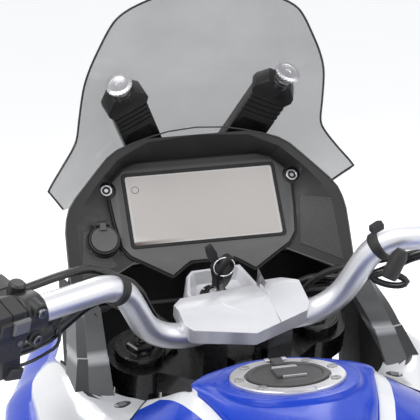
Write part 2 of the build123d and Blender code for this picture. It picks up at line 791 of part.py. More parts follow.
# Handlebar: one bent tube with its end weights
with BuildPart() as handlebar:
    with BuildLine() as bar_line:
        FilletPolyline(steer_point(*bar_point(-1, bar_reach)), steer_point(*bar_point(-1, 0)),
                       steer_point(-bar_bend_u, bar_v, bar_w), steer_point(bar_bend_u, bar_v, bar_w),
                       steer_point(*bar_point(1, 0)), steer_point(*bar_point(1, bar_reach)), radius=bar_bend_r)
    with BuildSketch(bar_plane(-1, bar_reach)):
        Circle(bar_r)
    sweep(path=bar_line.wires()[0])
    for side in (-1, 1):
        with BuildSketch(bar_plane(side, bar_reach - 1)):
            Circle(bar_end_r)
        extrude(amount=bar_end_length)
handlebar.part.label = "handlebar"
export_step(handlebar.part, "parts/handlebar.step")

# Risers that clamp the bar on the top yoke
with BuildPart() as bar_risers:
    for u in (-riser_u, riser_u):
        with BuildSketch(across(steer, u - riser_width / 2, bar_v, 0)):
            with BuildLine():
                Polyline((-riser_r - 2, 0), (riser_r + 2, 0), (riser_r, bar_w), (-riser_r, bar_w), close=True)
            make_face()
            with Locations((0, bar_w)):
                Circle(riser_r)
                Circle(bar_r + fit_gap, mode=Mode.SUBTRACT)
        extrude(amount=riser_width)
bar_risers.part.label = "bar_risers"
export_step(bar_risers.part, "parts/bar_risers.step")

# Clamp cover: a faceted shell over the risers
cover_outline = [(0, 40), (34, 40), (60, 38), (73, 22), (73, -16), (66, -27), (0, -47)]
with BuildPart() as clamp_cover:
    with BuildSketch(steer.offset(cover_bottom)):
        with BuildLine():
            Polyline(*both(cover_outline), close=True)
        make_face()
    with BuildSketch(steer.offset(cover_shoulder)):
        with BuildLine():
            Polyline(*both(cover_outline), close=True)
        make_face()
    loft(ruled=True)
    with BuildSketch(steer.offset(cover_shoulder)):
        with BuildLine():
            Polyline(*both(cover_outline), close=True)
        make_face()
    with BuildSketch(steer.offset(cover_top)):
        with BuildLine():
            Polyline(*both([(0, 36), (30, 36), (53, 32), (62, 18), (62, -10), (55, -17), (0, -34)]), close=True)
        make_face()
    loft(ruled=True)
    # Sunk middle panel with a pointed rear edge
    with BuildSketch(steer.offset(cover_top + 1)):
        with BuildLine():
            Polyline((-30, 60), (30, 60), (34, 6), (0, -18), (-34, 6), close=True)
        make_face()
    extrude(amount=-7, mode=Mode.SUBTRACT)
    # Hollow underside
    for w, wall in ((cover_bottom, cover_wall), (bar_w + riser_r + seat_gap, cover_wall + 1)):
        with BuildSketch(steer.offset(w)):
            with BuildLine():
                Polyline(*inset(both(cover_outline), wall), close=True)
            make_face()
    loft(ruled=True, mode=Mode.SUBTRACT)
    # Way for the bar through both ends
    with BuildSketch(across(steer, -90, bar_v, bar_w)):
        Circle(bar_r + 1)
    extrude(amount=180, mode=Mode.SUBTRACT)
clamp_cover.part.label = "clamp_cover"
export_step(clamp_cover.part, "parts/clamp_cover.step")

# Ignition surround, lock and key
surround_outline = [(0, 112), (24, 111), (36, 102), (45, 74), (47, 46), (0, 44)]
with BuildPart() as ignition_surround:
    for w, lean in ((surround_bottom, 0), (surround_top, 3)):
        with BuildSketch(steer.offset(w)):
            with BuildLine():
                Polyline(*inset(both(surround_outline), lean), close=True)
            make_face()
    loft(ruled=True)
    # Sunk floor with sloping sides
    for w, wall in ((surround_top + 0.1, 10), (surround_top - surround_sink, 17)):
        with BuildSketch(steer.offset(w)):
            with BuildLine():
                Polyline(*inset(both(surround_outline), wall), close=True)
            make_face()
    loft(ruled=True, mode=Mode.SUBTRACT)
    with BuildSketch(steer.offset(surround_top)):
        with Locations(lock_place):
            Circle(lock_r + fit_gap)
    extrude(amount=-60, mode=Mode.SUBTRACT)
ignition_surround.part.label = "ignition_surround"
export_step(ignition_surround.part, "parts/ignition_surround.step")

with BuildPart() as ignition_lock:
    with BuildSketch(on(steer, lock_place[0], lock_place[1], -44)):
        Circle(16)
    extrude(amount=44 + surround_bottom)
    with BuildSketch(on(steer, lock_place[0], lock_place[1], -44)):
        Circle(lock_r)
    extrude(amount=44 + lock_face)
ignition_lock.part.label = "ignition_lock"
export_step(ignition_lock.part, "parts/ignition_lock.step")

with BuildPart() as ignition_key:
    with BuildSketch(facing(on(steer, lock_place[0], lock_place[1], lock_face, (0, 0, 24)))):
        with BuildLine():
            Polyline((-3, 0), (3, 0), (3, 10), (11, 16), (12, 40), (5, 48), (-5, 48), (-12, 40), (-11, 16),
                     (-3, 10), close=True)
        make_face()
    extrude(amount=3, both=True)
ignition_key.part.label = "ignition_key"
export_step(ignition_key.part, "parts/ignition_key.step")

# Grips, switches, perches and levers along each bar end
for side, name in ((-1, "left"), (1, "right")):
    front = -side
    with BuildPart() as grip:
        with BuildSketch(bar_plane(side, grip_start)):
            Circle(grip_r)
            Circle(bar_r + fit_gap, mode=Mode.SUBTRACT)
        extrude(amount=grip_length)
        with BuildSketch(bar_plane(side, grip_start)):
            Circle(grip_r + 4)
            Circle(bar_r + fit_gap, mode=Mode.SUBTRACT)
        extrude(amount=6)
    grip.part.label = f"grip_{name}"
    export_step(grip.part, f"parts/grip_{name}.step")

    with BuildPart() as switchgear:
        with BuildSketch(bar_plane(side, switch_at - switch_width / 2)):
            with BuildLine():
                Polyline((20, -18 * front), (24, 6 * front), (12, 24 * front), (-26, 24 * front),
                         (-40, 8 * front), (-34, -20 * front), (-4, -26 * front), close=True)
            make_face()
            Circle(bar_r + fit_gap, mode=Mode.SUBTRACT)
        extrude(amount=switch_width)
    switchgear.part.label = f"switchgear_{name}"
    export_step(switchgear.part, f"parts/switchgear_{name}.step")

    lever_plane = Plane(origin=bar_plane(side, perch_at).origin, x_dir=bar_plane(side, perch_at).z_dir,
                        z_dir=bar_plane(side, perch_at).x_dir).offset(lever_drop)
    with BuildPart() as perch:
        with BuildSketch(bar_plane(side, perch_at - perch_width / 2)):
            Circle(perch_r)
            with Locations((lever_drop, 34 * front)):
                Rectangle(24, 48)
            Circle(bar_r + fit_gap, mode=Mode.SUBTRACT)
        extrude(amount=perch_width)
        with BuildSketch(lever_plane.offset(-lever_t / 2 - seat_gap)):
            with Locations((0, 55 * side)):
                Rectangle(perch_width + 10, 36)
        extrude(amount=lever_t + 2 * seat_gap, mode=Mode.SUBTRACT)
    perch.part.label = f"perch_{name}"
    export_step(perch.part, f"parts/perch_{name}.step")

    with BuildPart() as lever:
        with BuildSketch(lever_plane.offset(-lever_t / 2)):
            with BuildLine():
                Polyline(*[(x, y * side) for x, y in lever_outline], close=True)
            make_face()
            with Locations((lever_reach, 46 * side)):
                Circle(8)
        extrude(amount=lever_t)
    lever.part.label = f"lever_{name}"
    export_step(lever.part, f"parts/lever_{name}.step")

# Brake fluid reservoir on the right perch
reservoir_plane = Plane(origin=bar_plane(1, perch_at).origin, x_dir=bar_plane(1, perch_at).z_dir,
                        z_dir=bar_plane(1, perch_at).x_dir)
with BuildPart() as brake_reservoir:
    with BuildSketch(on(reservoir_plane, 4, 44, lever_drop + 12)):
        RectangleRounded(46, 34, 6)
    extrude(amount=24)
    with BuildSketch(on(reservoir_plane, 4, 44, lever_drop + 36)):
        RectangleRounded(50, 38, 7)
    extrude(amount=5)
brake_reservoir.part.label = "brake_reservoir"
export_step(brake_reservoir.part, "parts/brake_reservoir.step")

# Rubber straps on the shoulders of the bar
with BuildPart() as bar_straps:
    for side in (-1, 1):
        with BuildSketch(bar_plane(side, strap_at)):
            Circle(bar_r + 2.5)
            Circle(bar_r + fit_gap, mode=Mode.SUBTRACT)
        extrude(amount=strap_width)
bar_straps.part.label = "bar_straps"
export_step(bar_straps.part, "parts/bar_straps.step")
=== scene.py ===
import math

import bmesh
import bpy
from mathutils import Euler, Matrix, Vector
from mathutils.bvhtree import BVHTree


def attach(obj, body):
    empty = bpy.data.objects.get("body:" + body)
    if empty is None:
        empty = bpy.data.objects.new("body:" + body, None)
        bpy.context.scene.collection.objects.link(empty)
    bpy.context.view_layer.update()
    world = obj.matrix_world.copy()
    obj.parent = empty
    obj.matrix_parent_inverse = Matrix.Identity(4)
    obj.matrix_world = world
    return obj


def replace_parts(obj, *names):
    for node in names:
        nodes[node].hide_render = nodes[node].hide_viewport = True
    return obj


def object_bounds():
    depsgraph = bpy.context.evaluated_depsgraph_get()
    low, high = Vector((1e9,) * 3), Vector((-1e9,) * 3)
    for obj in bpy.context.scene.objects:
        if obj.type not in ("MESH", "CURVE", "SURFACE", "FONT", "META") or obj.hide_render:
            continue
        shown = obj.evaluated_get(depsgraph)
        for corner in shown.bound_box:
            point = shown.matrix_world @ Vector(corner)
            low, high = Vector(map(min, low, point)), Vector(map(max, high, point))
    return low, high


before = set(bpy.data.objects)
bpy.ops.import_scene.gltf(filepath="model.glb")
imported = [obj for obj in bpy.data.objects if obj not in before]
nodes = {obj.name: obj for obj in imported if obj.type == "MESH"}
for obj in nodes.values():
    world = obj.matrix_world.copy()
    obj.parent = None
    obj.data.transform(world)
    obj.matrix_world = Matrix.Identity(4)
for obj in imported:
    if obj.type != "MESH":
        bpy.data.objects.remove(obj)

cad_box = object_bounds()
scene = bpy.context.scene

# Camera: the photograph's own viewpoint, solved from mirror pairs of points
YAW, PITCH, ROLL = 0.207496095, 0.200769771, 0.0482383381
FOCAL = 1800.16867
EYE = Vector((-0.427242218, -1.35964270, 0.676924384))


def make_camera():
    sa, ca = math.sin(YAW), math.cos(YAW)
    se, ce = math.sin(PITCH), math.cos(PITCH)
    ahead = Vector((sa * ce, ca * ce, -se))
    right0 = Vector((ca, -sa, 0))
    up0 = Vector((sa * se, ca * se, ce))
    right = right0 * math.cos(ROLL) - up0 * math.sin(ROLL)
    up = right0 * math.sin(ROLL) + up0 * math.cos(ROLL)
    data = bpy.data.cameras.new("photo_camera")
    data.sensor_width = 36
    data.lens = FOCAL / 420 * 36
    data.clip_start = 0.05
    data.clip_end = 60
    camera = bpy.data.objects.new("photo_camera", data)
    matrix = Matrix((right, up, -ahead)).transposed().to_4x4()
    matrix.translation = EYE
    camera.matrix_world = matrix
    scene.collection.objects.link(camera)
    scene.camera = camera


make_camera()
scene.view_settings.view_transform = "Standard"


# Materials
class Shading:
    """One node tree, with a short call for each kind of node that repeats."""

    def __init__(self, tree):
        self.nodes, self.links = tree.nodes, tree.links
        self.shader = self.nodes.get("Principled BSDF")

    def new(self, kind, values=None):
        node = self.nodes.new("ShaderNode" + kind)
        for name, value in (values or {}).items():
            node.inputs[name].default_value = value
        return node

    def put(self, value, socket):
        """A link, a colour, or a number set on the socket itself."""
        if isinstance(value, bpy.types.NodeSocket):
            self.links.new(value, socket)
        elif isinstance(value, tuple):
            socket.default_value = (*value, 1)
        elif value is not None:
            socket.default_value = value

    def set(self, values):
        for name, value in values.items():
            self.put(value, self.shader.inputs[name])

    def coords(self, output="Object"):
        return self.new("TexCoord").outputs[output]

    def axes(self, output="Object"):
        split = self.new("SeparateXYZ")
        self.put(self.coords(output), split.inputs[0])
        return split.outputs

    def facing(self):
        """The three shares of the flat normal."""
        split = self.new("SeparateXYZ")
        self.put(self.new("NewGeometry").outputs["True Normal"], split.inputs[0])
        return split.outputs

    def noise(self, scale, detail=4):
        texture = self.new("TexNoise", {"Scale": scale, "Detail": detail})
        self.put(self.coords(), texture.inputs["Vector"])
        return texture.outputs["Fac"]

    def spread(self, value, low, high, start=0.3, end=0.7):
        ramp = self.new("MapRange", {"From Min": start, "From Max": end, "To Min": low, "To Max": high})
        self.put(value, ramp.inputs["Value"])
        return ramp.outputs["Result"]

    def uneven(self, scale, detail, low, high):
        """A value that wanders between two others."""
        return self.spread(self.noise(scale, detail), low, high)

    def maths(self, operation, first, second=None):
        node = self.new("Math")
        node.operation = operation
        self.put(first, node.inputs[0])
        self.put(second, node.inputs[1])
        return node.outputs[0]

    def times(self, first, second):
        return self.maths("MULTIPLY", first, second)

    def off(self, value, centre):
        """How far a value is from its centre."""
        return self.maths("ABSOLUTE", self.maths("SUBTRACT", value, centre))

    def blend(self, factor, first, second):
        """Two colours, each a triple or a socket, mixed by a factor."""
        mix = self.new("Mix")
        mix.data_type = "RGBA"
        for name, value in (("A", first), ("B", second), ("Factor", factor)):
            self.put(value, mix.inputs[name])
        return mix.outputs["Result"]

    def finish(self, height, bump, depth, edge):
        """Softened edges under a fine relief."""
        round_edge = self.new("Bevel", {"Radius": edge})
        round_edge.samples = 4
        relief = self.new("Bump", {"Strength": bump, "Distance": depth})
        self.put(height, relief.inputs["Height"])
        self.put(round_edge.outputs["Normal"], relief.inputs["Normal"])
        self.set({"Normal": relief.outputs["Normal"]})


def new_material(name):
    material = bpy.data.materials.new(name)
    material.use_nodes = True
    return material, Shading(material.node_tree)


def surface(name, dark, light, rough=(0.4, 0.5), metallic=0.0, patch=25, grain=900, bump=0.1, edge=0.0008, coat=0.0,
            specular=0.5, voronoi=False, colour=None):
    """A procedural surface: patches of colour, uneven gloss, fine grain and softened edges."""
    material, t = new_material(name)
    tint = t.blend(t.uneven(patch, 6, 0, 1), dark, light)
    if colour:
        tint = colour(t, tint)
    t.set({"Base Color": tint, "Roughness": t.uneven(patch * 4, 5, *rough), "Metallic": metallic,
           "Specular IOR Level": specular, "Coat Weight": coat, "Coat Roughness": 0.04})
    if voronoi:
        cells = t.new("TexVoronoi", {"Scale": grain})
        t.put(t.coords(), cells.inputs["Vector"])
        height = cells.outputs["Distance"]
    else:
        height = t.noise(grain, 3)
    t.finish(height, bump, 0.0002, edge)
    return material


def painted_hood_shade(t, tint):
    """Painted shade: the bezel is painted darker under the hood and paler towards its foot."""
    return t.blend(t.spread(t.axes()[2], 0, 1, 0.200, 0.300), tint, (0.050, 0.050, 0.051))


# The white band on the tank: how far out its two edges are, by y in metres
BAND_IN = ((0.10, 0.047), (0.18, 0.055), (0.24, 0.0674), (0.28, 0.0798), (0.32, 0.0893), (0.352, 0.0965),
           (0.45, 0.0965))
BAND_OUT = ((0.10, 0.058), (0.18, 0.070), (0.24, 0.084), (0.28, 0.0959), (0.32, 0.1051), (0.36, 0.112),
            (0.40, 0.1195), (0.412, 0.135), (0.45, 0.19))
BAND_LENGTH, BAND_REACH, BAND_FOOT = 0.5, 0.2, 0.074


def white_band(t, tint):
    """The white band between the raised middle of the tank and its wing."""
    x, y, z = t.axes()
    along, across = t.times(y, 1 / BAND_LENGTH), t.maths("ABSOLUTE", x)
    edges = []
    for points in (BAND_IN, BAND_OUT):
        curve = t.new("FloatCurve")
        line = curve.mapping.curves[0]
        rows = [(py / BAND_LENGTH, px / BAND_REACH) for py, px in points]
        line.points[0].location, line.points[-1].location = rows[0], rows[-1]
        for row in rows[1:-1]:
            line.points.new(*row)
        for point in line.points:
            point.handle_type = "VECTOR"
        curve.mapping.update()
        t.put(along, curve.inputs["Value"])
        edges.append(t.times(curve.outputs["Value"], BAND_REACH))
    inside = t.times(t.maths("GREATER_THAN", across, edges[0]), t.maths("LESS_THAN", across, edges[1]))
    return t.blend(t.times(inside, t.maths("GREATER_THAN", z, BAND_FOOT)), tint, (0.83, 0.84, 0.86))


def dark_inner_faces(t, tint):
    """Side panels keep their paint on faces that look outwards and are near black on faces that look inwards."""
    outward = t.times(t.facing()[0], t.maths("SIGN", t.axes()[0]))
    return t.blend(t.maths("LESS_THAN", outward, -0.2), tint, (0.012, 0.012, 0.013))


def painted_facet_light(t, tint):
    """Painted shade and highlight: the pillar's slanted facet is painted darker than its face, and its ledge carries a
    painted highlight.
    """
    x, y, z = t.axes()
    # Painted shade: the slanted facet, which faces away from the light, is painted darker.
    corner = t.maths("SUBTRACT", 0.1974, t.times(z, 0.17))
    slanted = t.times(t.maths("GREATER_THAN", t.maths("ABSOLUTE", x), corner),
                      t.maths("LESS_THAN", t.facing()[1], -0.25))
    shaded = t.blend(slanted, tint, (0.036, 0.037, 0.039))
    # Painted highlight: a pale band along the ledge where it catches the light.
    ledge = t.times(t.spread(t.off(z, 0.1310), 1, 0, 0.0015, 0.0065), t.maths("SUBTRACT", 1.0, slanted))
    return t.blend(ledge, shaded, (0.42, 0.43, 0.44))


def smoked(name, tint, clear, rough, coat=0.0):
    """A thin clear or smoked sheet: partly see-through, with a gloss of its own and an uneven tint."""
    material, t = new_material(name)
    t.set({"Base Color": t.blend(t.uneven(9, 4, 0, 1), *tint), "Roughness": t.uneven(60, 3, *rough),
           "Alpha": t.uneven(8, 3, *clear), "Coat Weight": coat})
    return material


def dotted(name, ground, dot, pitch, radius):
    """A panel with rows of small raised dots, staggered, on the piece's own map in millimetres."""
    material, t = new_material(name)
    u, v, w = t.axes("UV")
    row = t.times(v, 1000 / pitch / 0.866)
    stagger = t.times(t.maths("MODULO", t.maths("FLOOR", row), 2.0), 0.5)
    column = t.maths("ADD", t.times(u, 1000 / pitch), stagger)
    across = t.maths("SUBTRACT", t.maths("FRACT", column), 0.5)
    along = t.maths("SUBTRACT", t.maths("FRACT", row), 0.5)
    reach = t.maths("SQRT", t.maths("ADD", t.times(across, across), t.times(along, along)))
    raised = t.spread(reach, 1, 0, radius - 0.1, radius + 0.1)
    worn = t.blend(t.uneven(40, 4, 0, 1), ground, tuple(c * 1.15 for c in ground))
    t.set({"Base Color": t.blend(raised, worn, dot), "Roughness": t.uneven(150, 3, 0.4, 0.52)})
    t.finish(raised, 0.5, 0.0005, 0.0004)
    return material


def display_glass():
    """Warm grey glass with painted reflections: a paler border and a pale bloom at one corner."""
    material, t = new_material("display_grey")
    u, v, w = t.axes("UV")
    face = t.blend(t.uneven(7, 3, 0, 1), (0.50, 0.475, 0.455), (0.54, 0.51, 0.49))
    # Painted reflection: the glass is paler along its border.
    border_reflection = t.maths("MAXIMUM", t.spread(t.off(u, 0.5), 0, 1, 0.462, 0.468),
                     t.spread(t.off(v, 0.5), 0, 1, 0.435, 0.445))
    with_border_reflection = t.blend(border_reflection, face, (0.60, 0.58, 0.565))
    # Painted reflection: a pale bloom that grows towards one corner.
    corner = t.maths("ADD", t.times(u, 2.2), t.times(v, 3.4))
    pale = t.blend(t.spread(corner, 0.75, 0.0, 0.15, 0.75), with_border_reflection, (0.80, 0.76, 0.73))
    low = t.times(t.spread(v, 1, 0, 0.075, 0.10), t.spread(u, 1, 0, 0.05, 0.35))
    t.set({"Base Color": t.blend(low, pale, (0.12, 0.085, 0.07)), "Roughness": t.uneven(30, 3, 0.10, 0.18),
           "Coat Weight": 0.5})
    return material


BLUE = ((0.004, 0.048, 0.52), (0.006, 0.058, 0.58))
GLOSS_BLUE = {"rough": (0.20, 0.28), "grain": 300, "bump": 0.02, "coat": 0.14, "specular": 0.2}
WHITE = ((0.80, 0.81, 0.83), (0.84, 0.85, 0.87))
M = {
    "cowl": surface("cowl_black", (0.013, 0.013, 0.014), (0.020, 0.020, 0.021), (0.42, 0.55), grain=1500,
                    bump=0.35, voronoi=True),
    "cavity": surface("inner_black", (0.004, 0.004, 0.004), (0.008, 0.008, 0.008), (0.6, 0.75)),
    "bezel": surface("bezel_grey", (0.105, 0.105, 0.106), (0.125, 0.125, 0.126), (0.42, 0.52), grain=1800,
                     bump=0.2, voronoi=True, colour=painted_hood_shade),
    "arm": surface("arm_black", (0.004, 0.004, 0.004), (0.008, 0.008, 0.008), (0.34, 0.46), grain=1200, bump=0.15),
    "silver": surface("satin_silver", (0.66, 0.66, 0.69), (0.74, 0.74, 0.77), (0.30, 0.38), 1.0, patch=18,
                      grain=1600, bump=0.06),
    "cover": surface("painted_silver", (0.76, 0.76, 0.79), (0.82, 0.82, 0.85), (0.30, 0.38), 0.35, patch=18,
                     grain=2200, bump=0.06, coat=0.3, edge=0.0014),
    "bar": surface("bar_silver", (0.74, 0.745, 0.78), (0.80, 0.805, 0.84), (0.36, 0.42), 0.9, patch=6, grain=2600,
                   bump=0.015, edge=0.0003),
    "steel": surface("bolt_steel", (0.16, 0.16, 0.165), (0.24, 0.24, 0.245), (0.28, 0.42), 1.0, grain=1500,
                     edge=0.0004),
    "edge": surface("screen_edge", (0.012, 0.012, 0.013), (0.02, 0.02, 0.022), (0.2, 0.3), bump=0.05),
    "bright_steel": surface("ring_bolts", (0.34, 0.34, 0.345), (0.42, 0.42, 0.425), (0.30, 0.42), 0.8, grain=1500,
                            edge=0.0004),
    "yoke": surface("yoke_black", (0.005, 0.005, 0.005), (0.010, 0.010, 0.010), (0.20, 0.34), grain=700,
                    bump=0.12, coat=0.3),
    "rubber": surface("rubber_black", (0.010, 0.010, 0.010), (0.018, 0.018, 0.018), (0.50, 0.66), grain=800,
                      bump=0.3),
    "sleeve": surface("cable_sleeve", (0.007, 0.007, 0.007), (0.012, 0.012, 0.012), (0.22, 0.38), grain=500,
                      bump=0.2, coat=0.2),
    "control": surface("control_black", (0.014, 0.014, 0.015), (0.022, 0.022, 0.023), (0.40, 0.52), grain=1300,
                       bump=0.25, voronoi=True),
    "button": surface("button_grey", (0.10, 0.10, 0.105), (0.14, 0.14, 0.145), (0.40, 0.5), grain=1300),
    "pillar": surface("pillar_grey", (0.095, 0.097, 0.100), (0.115, 0.117, 0.121), (0.36, 0.46), grain=1500,
                      bump=0.2, voronoi=True, edge=0.0012, colour=painted_facet_light),
    "white": surface("body_white", *WHITE, (0.16, 0.24), grain=400, bump=0.02, coat=0.8, colour=dark_inner_faces),
    "blue": surface("body_blue", *BLUE, **GLOSS_BLUE, colour=dark_inner_faces),
    "tank": surface("tank_blue", *BLUE, **GLOSS_BLUE, edge=0.003, colour=white_band),
    "lid": surface("lid_dark", (0.030, 0.030, 0.031), (0.044, 0.044, 0.046), (0.35, 0.45), grain=1400, bump=0.2,
                   voronoi=True),
    "ochre": surface("bracket_ochre", (0.075, 0.045, 0.018), (0.105, 0.065, 0.028), (0.5, 0.65), grain=500,
                     bump=0.2),
    "chrome": surface("lock_chrome", (0.80, 0.80, 0.82), (0.86, 0.86, 0.88), (0.06, 0.12), 1.0, grain=200,
                      bump=0.02),
    "smoke": smoked("smoked_screen", ((0.13, 0.13, 0.135), (0.16, 0.16, 0.165)), (0.33, 0.40), (0.06, 0.10)),
    "lens": smoked("lamp_lens", ((0.70, 0.72, 0.74), (0.78, 0.80, 0.82)), (0.16, 0.20), (0.03, 0.06), 1.0),
    "mesh": dotted("dotted_panel", (0.034, 0.034, 0.035), (0.080, 0.080, 0.082), 2.7, 0.27),
    "glass": display_glass(),
}

CARRIED = {
    "cowl": ("dash_cowl", "nose_cowl", "socket_body"),
    "cavity": ("display_unit", "frame_spine", "fairing_stay"),
    "bezel": ("display_bezel", "socket_cap"),
    "smoke": ("windscreen",),
    "arm": ("screen_arm_left", "screen_arm_right", "ignition_lock", "ignition_key"),
    "silver": ("screen_knob_left", "screen_knob_right", "filler_ring"),
    "cover": ("clamp_cover", "ignition_surround"),
    "bar": ("handlebar",),
    "lens": ("headlamp_left", "headlamp_right"),
    "glass": ("display_glass",),
    "pillar": ("pillar_left", "pillar_right"),
    "white": ("side_cowl_left", "side_cowl_right"),
    "blue": ("shroud_left", "shroud_right"),
    "tank": ("fuel_tank",),
    "lid": ("filler_lid",),
    "yoke": ("top_yoke", "lower_yoke", "fork_leg_left", "fork_leg_right", "bar_risers"),
    "rubber": ("grip_left", "grip_right", "bar_straps"),
    "control": ("switchgear_left", "switchgear_right", "perch_left", "perch_right", "lever_left", "lever_right",
                "brake_reservoir"),
}


def dress(name, material):
    node = nodes[name]
    node.data.materials.clear()
    node.data.materials.append(material)
    for polygon in node.data.polygons:
        polygon.material_index = 0


for key, names in CARRIED.items():
    for name in names:
        dress(name, M[key])


# Frames: matrices whose own coordinates are millimetres
def plane(origin, z_dir, x_dir=(1, 0, 0)):
    z = Vector(z_dir).normalized()
    x = Vector(x_dir)
    x = (x - z * x.dot(z)).normalized()
    y = z.cross(x)
    turn = Matrix((x, y, z)).transposed().to_4x4()
    return Matrix.Translation(Vector(origin) * MM) @ turn @ Matrix.Scale(MM, 4)


def tilted(degrees):
    a = math.radians(degrees)
    return (0, -math.cos(a), math.sin(a))


def shift(base, x=0.0, y=0.0, z=0.0, turn=(0, 0, 0)):
    euler = Euler([math.radians(t) for t in turn]).to_matrix().to_4x4()
    return base @ Matrix.Translation((x, y, z)) @ euler


MM = 0.001
DISPLAY_SIZE = (188, 96)
SCREW_X, SCREW_Y = 114, 29
SCREEN_BOW, SCREEN_SHEET = 235, 4
SIDES = ((-1, "left"), (1, "right"))
WORLD = Matrix.Scale(MM, 4)
DIAL = plane((0, 704, 255), tilted(33))
RIM_AT = (0, 692, 260)
RIM = plane(RIM_AT, tilted(22))
RIM_OUT = RIM.to_3x3().col[2].normalized()
SCREEN = plane((0, 821, 280), (0, -math.cos(math.radians(36.87)), -math.sin(math.radians(36.87))))
HEAD = plane((0, 554.5, 107.2), tilted(62.5))
STEER = shift(HEAD, turn=(0, 0, 6.2))
FILLER = plane((0, 330, 150), (0, 0, 1))
# The bar's bend on the right, in the steering frame, and the way its arm runs from there
BAR_SHOULDER = Vector((148.0, -14.5, 154.0))
BAR_DIRECTION = Vector((0.895, -0.396, 0.206))


def bar_at(side, along):
    """A frame across the bar: x up, z outwards, y rearwards on the right and forwards on the left."""
    point = BAR_SHOULDER + BAR_DIRECTION * along
    point.x *= side
    outward = Vector((BAR_DIRECTION.x * side, BAR_DIRECTION.y, BAR_DIRECTION.z))
    turn = STEER.to_3x3().normalized()
    origin = STEER @ point
    return plane(origin / MM, turn @ outward, turn @ Vector((0, 0, 1)))


# Mesh work
def form():
    return bmesh.new()


def skin(shape, rings, closed=True, cap_start=True, cap_end=True):
    """Rings of points, each as long as the others, joined into a wall."""
    rows = [[shape.verts.new(p) for p in ring] for ring in rings]
    count = len(rows[0])
    for first, second in zip(rows, rows[1:]):
        for i in range(count if closed else count - 1):
            j = (i + 1) % count
            shape.faces.new((first[i], first[j], second[j], second[i]))
    if cap_start:
        shape.faces.new(list(reversed(rows[0])))
    if cap_end:
        shape.faces.new(rows[-1])
    return rows


def outline_ring(matrix, points, z):
    return [matrix @ Vector((x, y, z)) for x, y in points]


def circle(radius, count=32, corners=0):
    """Points of a circle, or of a polygon with so many corners, at the same count."""
    points = []
    for i in range(count):
        angle = 2 * math.pi * i / count
        reach = radius
        if corners:
            sector = math.pi / corners
            reach = radius * math.cos(sector) / math.cos((angle % (2 * sector)) - sector)
        points.append((reach * math.cos(angle), reach * math.sin(angle)))
    return points


def turned(shape, matrix, profile, count=32):
    """A turned form: profile rows are radius, height and, where it isn't round, the corners."""
    rings = []
    for row in profile:
        corners = row[2] if len(row) > 2 else 0
        rings.append(outline_ring(matrix, circle(row[0], count, corners), row[1]))
    skin(shape, rings)


def bolt(shape, matrix, radius, height, socket=True):
    """A cap bolt with a chamfer and a hexagon socket."""
    rim = radius * 0.9
    rows = [(radius, 0), (radius, height - radius * 0.12), (rim, height)]
    if socket:
        key = radius * 0.56
        rows += [(key * 1.08, height), (key, height - 0.1, 6), (key, height - height * 0.6, 6)]
    turned(shape, matrix, rows, 24)


def block(shape, matrix, points, low, high, chamfer=0.8):
    """A prism with chamfered top edges; the outline runs anticlockwise."""
    centre = Vector((sum(p[0] for p in points) / len(points), sum(p[1] for p in points) / len(points)))
    inner = []
    for x, y in points:
        away = Vector((x, y)) - centre
        inner.append(tuple(centre + away * (1 - chamfer / max(away.length, 0.001))))
    skin(shape, [outline_ring(matrix, points, low), outline_ring(matrix, points, high - chamfer),
                 outline_ring(matrix, inner, high)])


def ribbon(shape, points, ups, width, height):
    """A raised strip along points, each with the direction it stands up in."""
    rings = []
    for i, (point, up) in enumerate(zip(points, ups)):
        ahead = (points[min(i + 1, len(points) - 1)] - points[max(i - 1, 0)]).normalized()
        across = ahead.cross(up).normalized()
        rings.append([point - across * width / 2 - up * 0.0003, point + across * width / 2 - up * 0.0003,
                      point + across * width * 0.32 + up * height, point - across * width * 0.32 + up * height])
    skin(shape, rings)


def finished(name, shape, material, body, smooth=35):
    """A mesh turned into a piece that rides on a body."""
    bmesh.ops.remove_doubles(shape, verts=shape.verts, dist=0.000005)
    bmesh.ops.recalc_face_normals(shape, faces=shape.faces)
    mesh = bpy.data.meshes.new(name)
    shape.to_mesh(mesh)
    shape.free()
    return settle(name, mesh, material, body, smooth)


def settle(name, mesh, material, body, smooth=35):
    mesh.materials.clear()
    mesh.materials.append(material)
    for polygon in mesh.polygons:
        polygon.material_index = 0
        polygon.use_smooth = True
    mesh.set_sharp_from_angle(angle=math.radians(smooth))
    piece = bpy.data.objects.new(name, mesh)
    scene.collection.objects.link(piece)
    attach(piece, body)
    return piece


# Geometry Nodes: one tree that repeats a form at places, one that runs a round bead along a line
class Growing:
    """A node tree whose result is made real and takes its material at the end."""

    def __init__(self, name, inputs):
        self.tree = bpy.data.node_groups.new(name, "GeometryNodeTree")
        inputs = (("Geometry", "Geometry"), *inputs, ("Finish", "Material"))
        for label, kind in inputs:
            self.tree.interface.new_socket(label, in_out="INPUT", socket_type="NodeSocket" + kind)
        self.tree.interface.new_socket("Geometry", in_out="OUTPUT", socket_type="NodeSocketGeometry")
        self.given = self.tree.nodes.new("NodeGroupInput").outputs

    def feed(self, node, links):
        """Links a node's inputs, by name or number, to what feeds each."""
        for name, source in links.items():
            self.tree.links.new(source, node.inputs[name])
        return node

    def new(self, kind, links):
        return self.feed(self.tree.nodes.new(kind), links)

    def end(self, geometry):
        real = self.new("GeometryNodeRealizeInstances", {0: geometry})
        paint = self.new("GeometryNodeSetMaterial", {"Geometry": real.outputs[0], "Material": self.given["Finish"]})
        self.new("NodeGroupOutput", {0: paint.outputs[0]})
        return self.tree


def repeat_tree():
    t = Growing("repeat_at_places", (("Form", "Object"), ("Size", "Float")))
    source = t.new("GeometryNodeObjectInfo", {"Object": t.given["Form"]})
    turn = t.new("GeometryNodeInputNamedAttribute", {})
    turn.data_type = "FLOAT_VECTOR"
    turn.inputs["Name"].default_value = "turn"
    spin = t.new("FunctionNodeEulerToRotation", {0: turn.outputs["Attribute"]})
    place = t.new("GeometryNodeInstanceOnPoints", {
        "Points": t.given["Geometry"], "Instance": source.outputs["Geometry"], "Rotation": spin.outputs[0],
        "Scale": t.given["Size"]})
    return t.end(place.outputs[0])


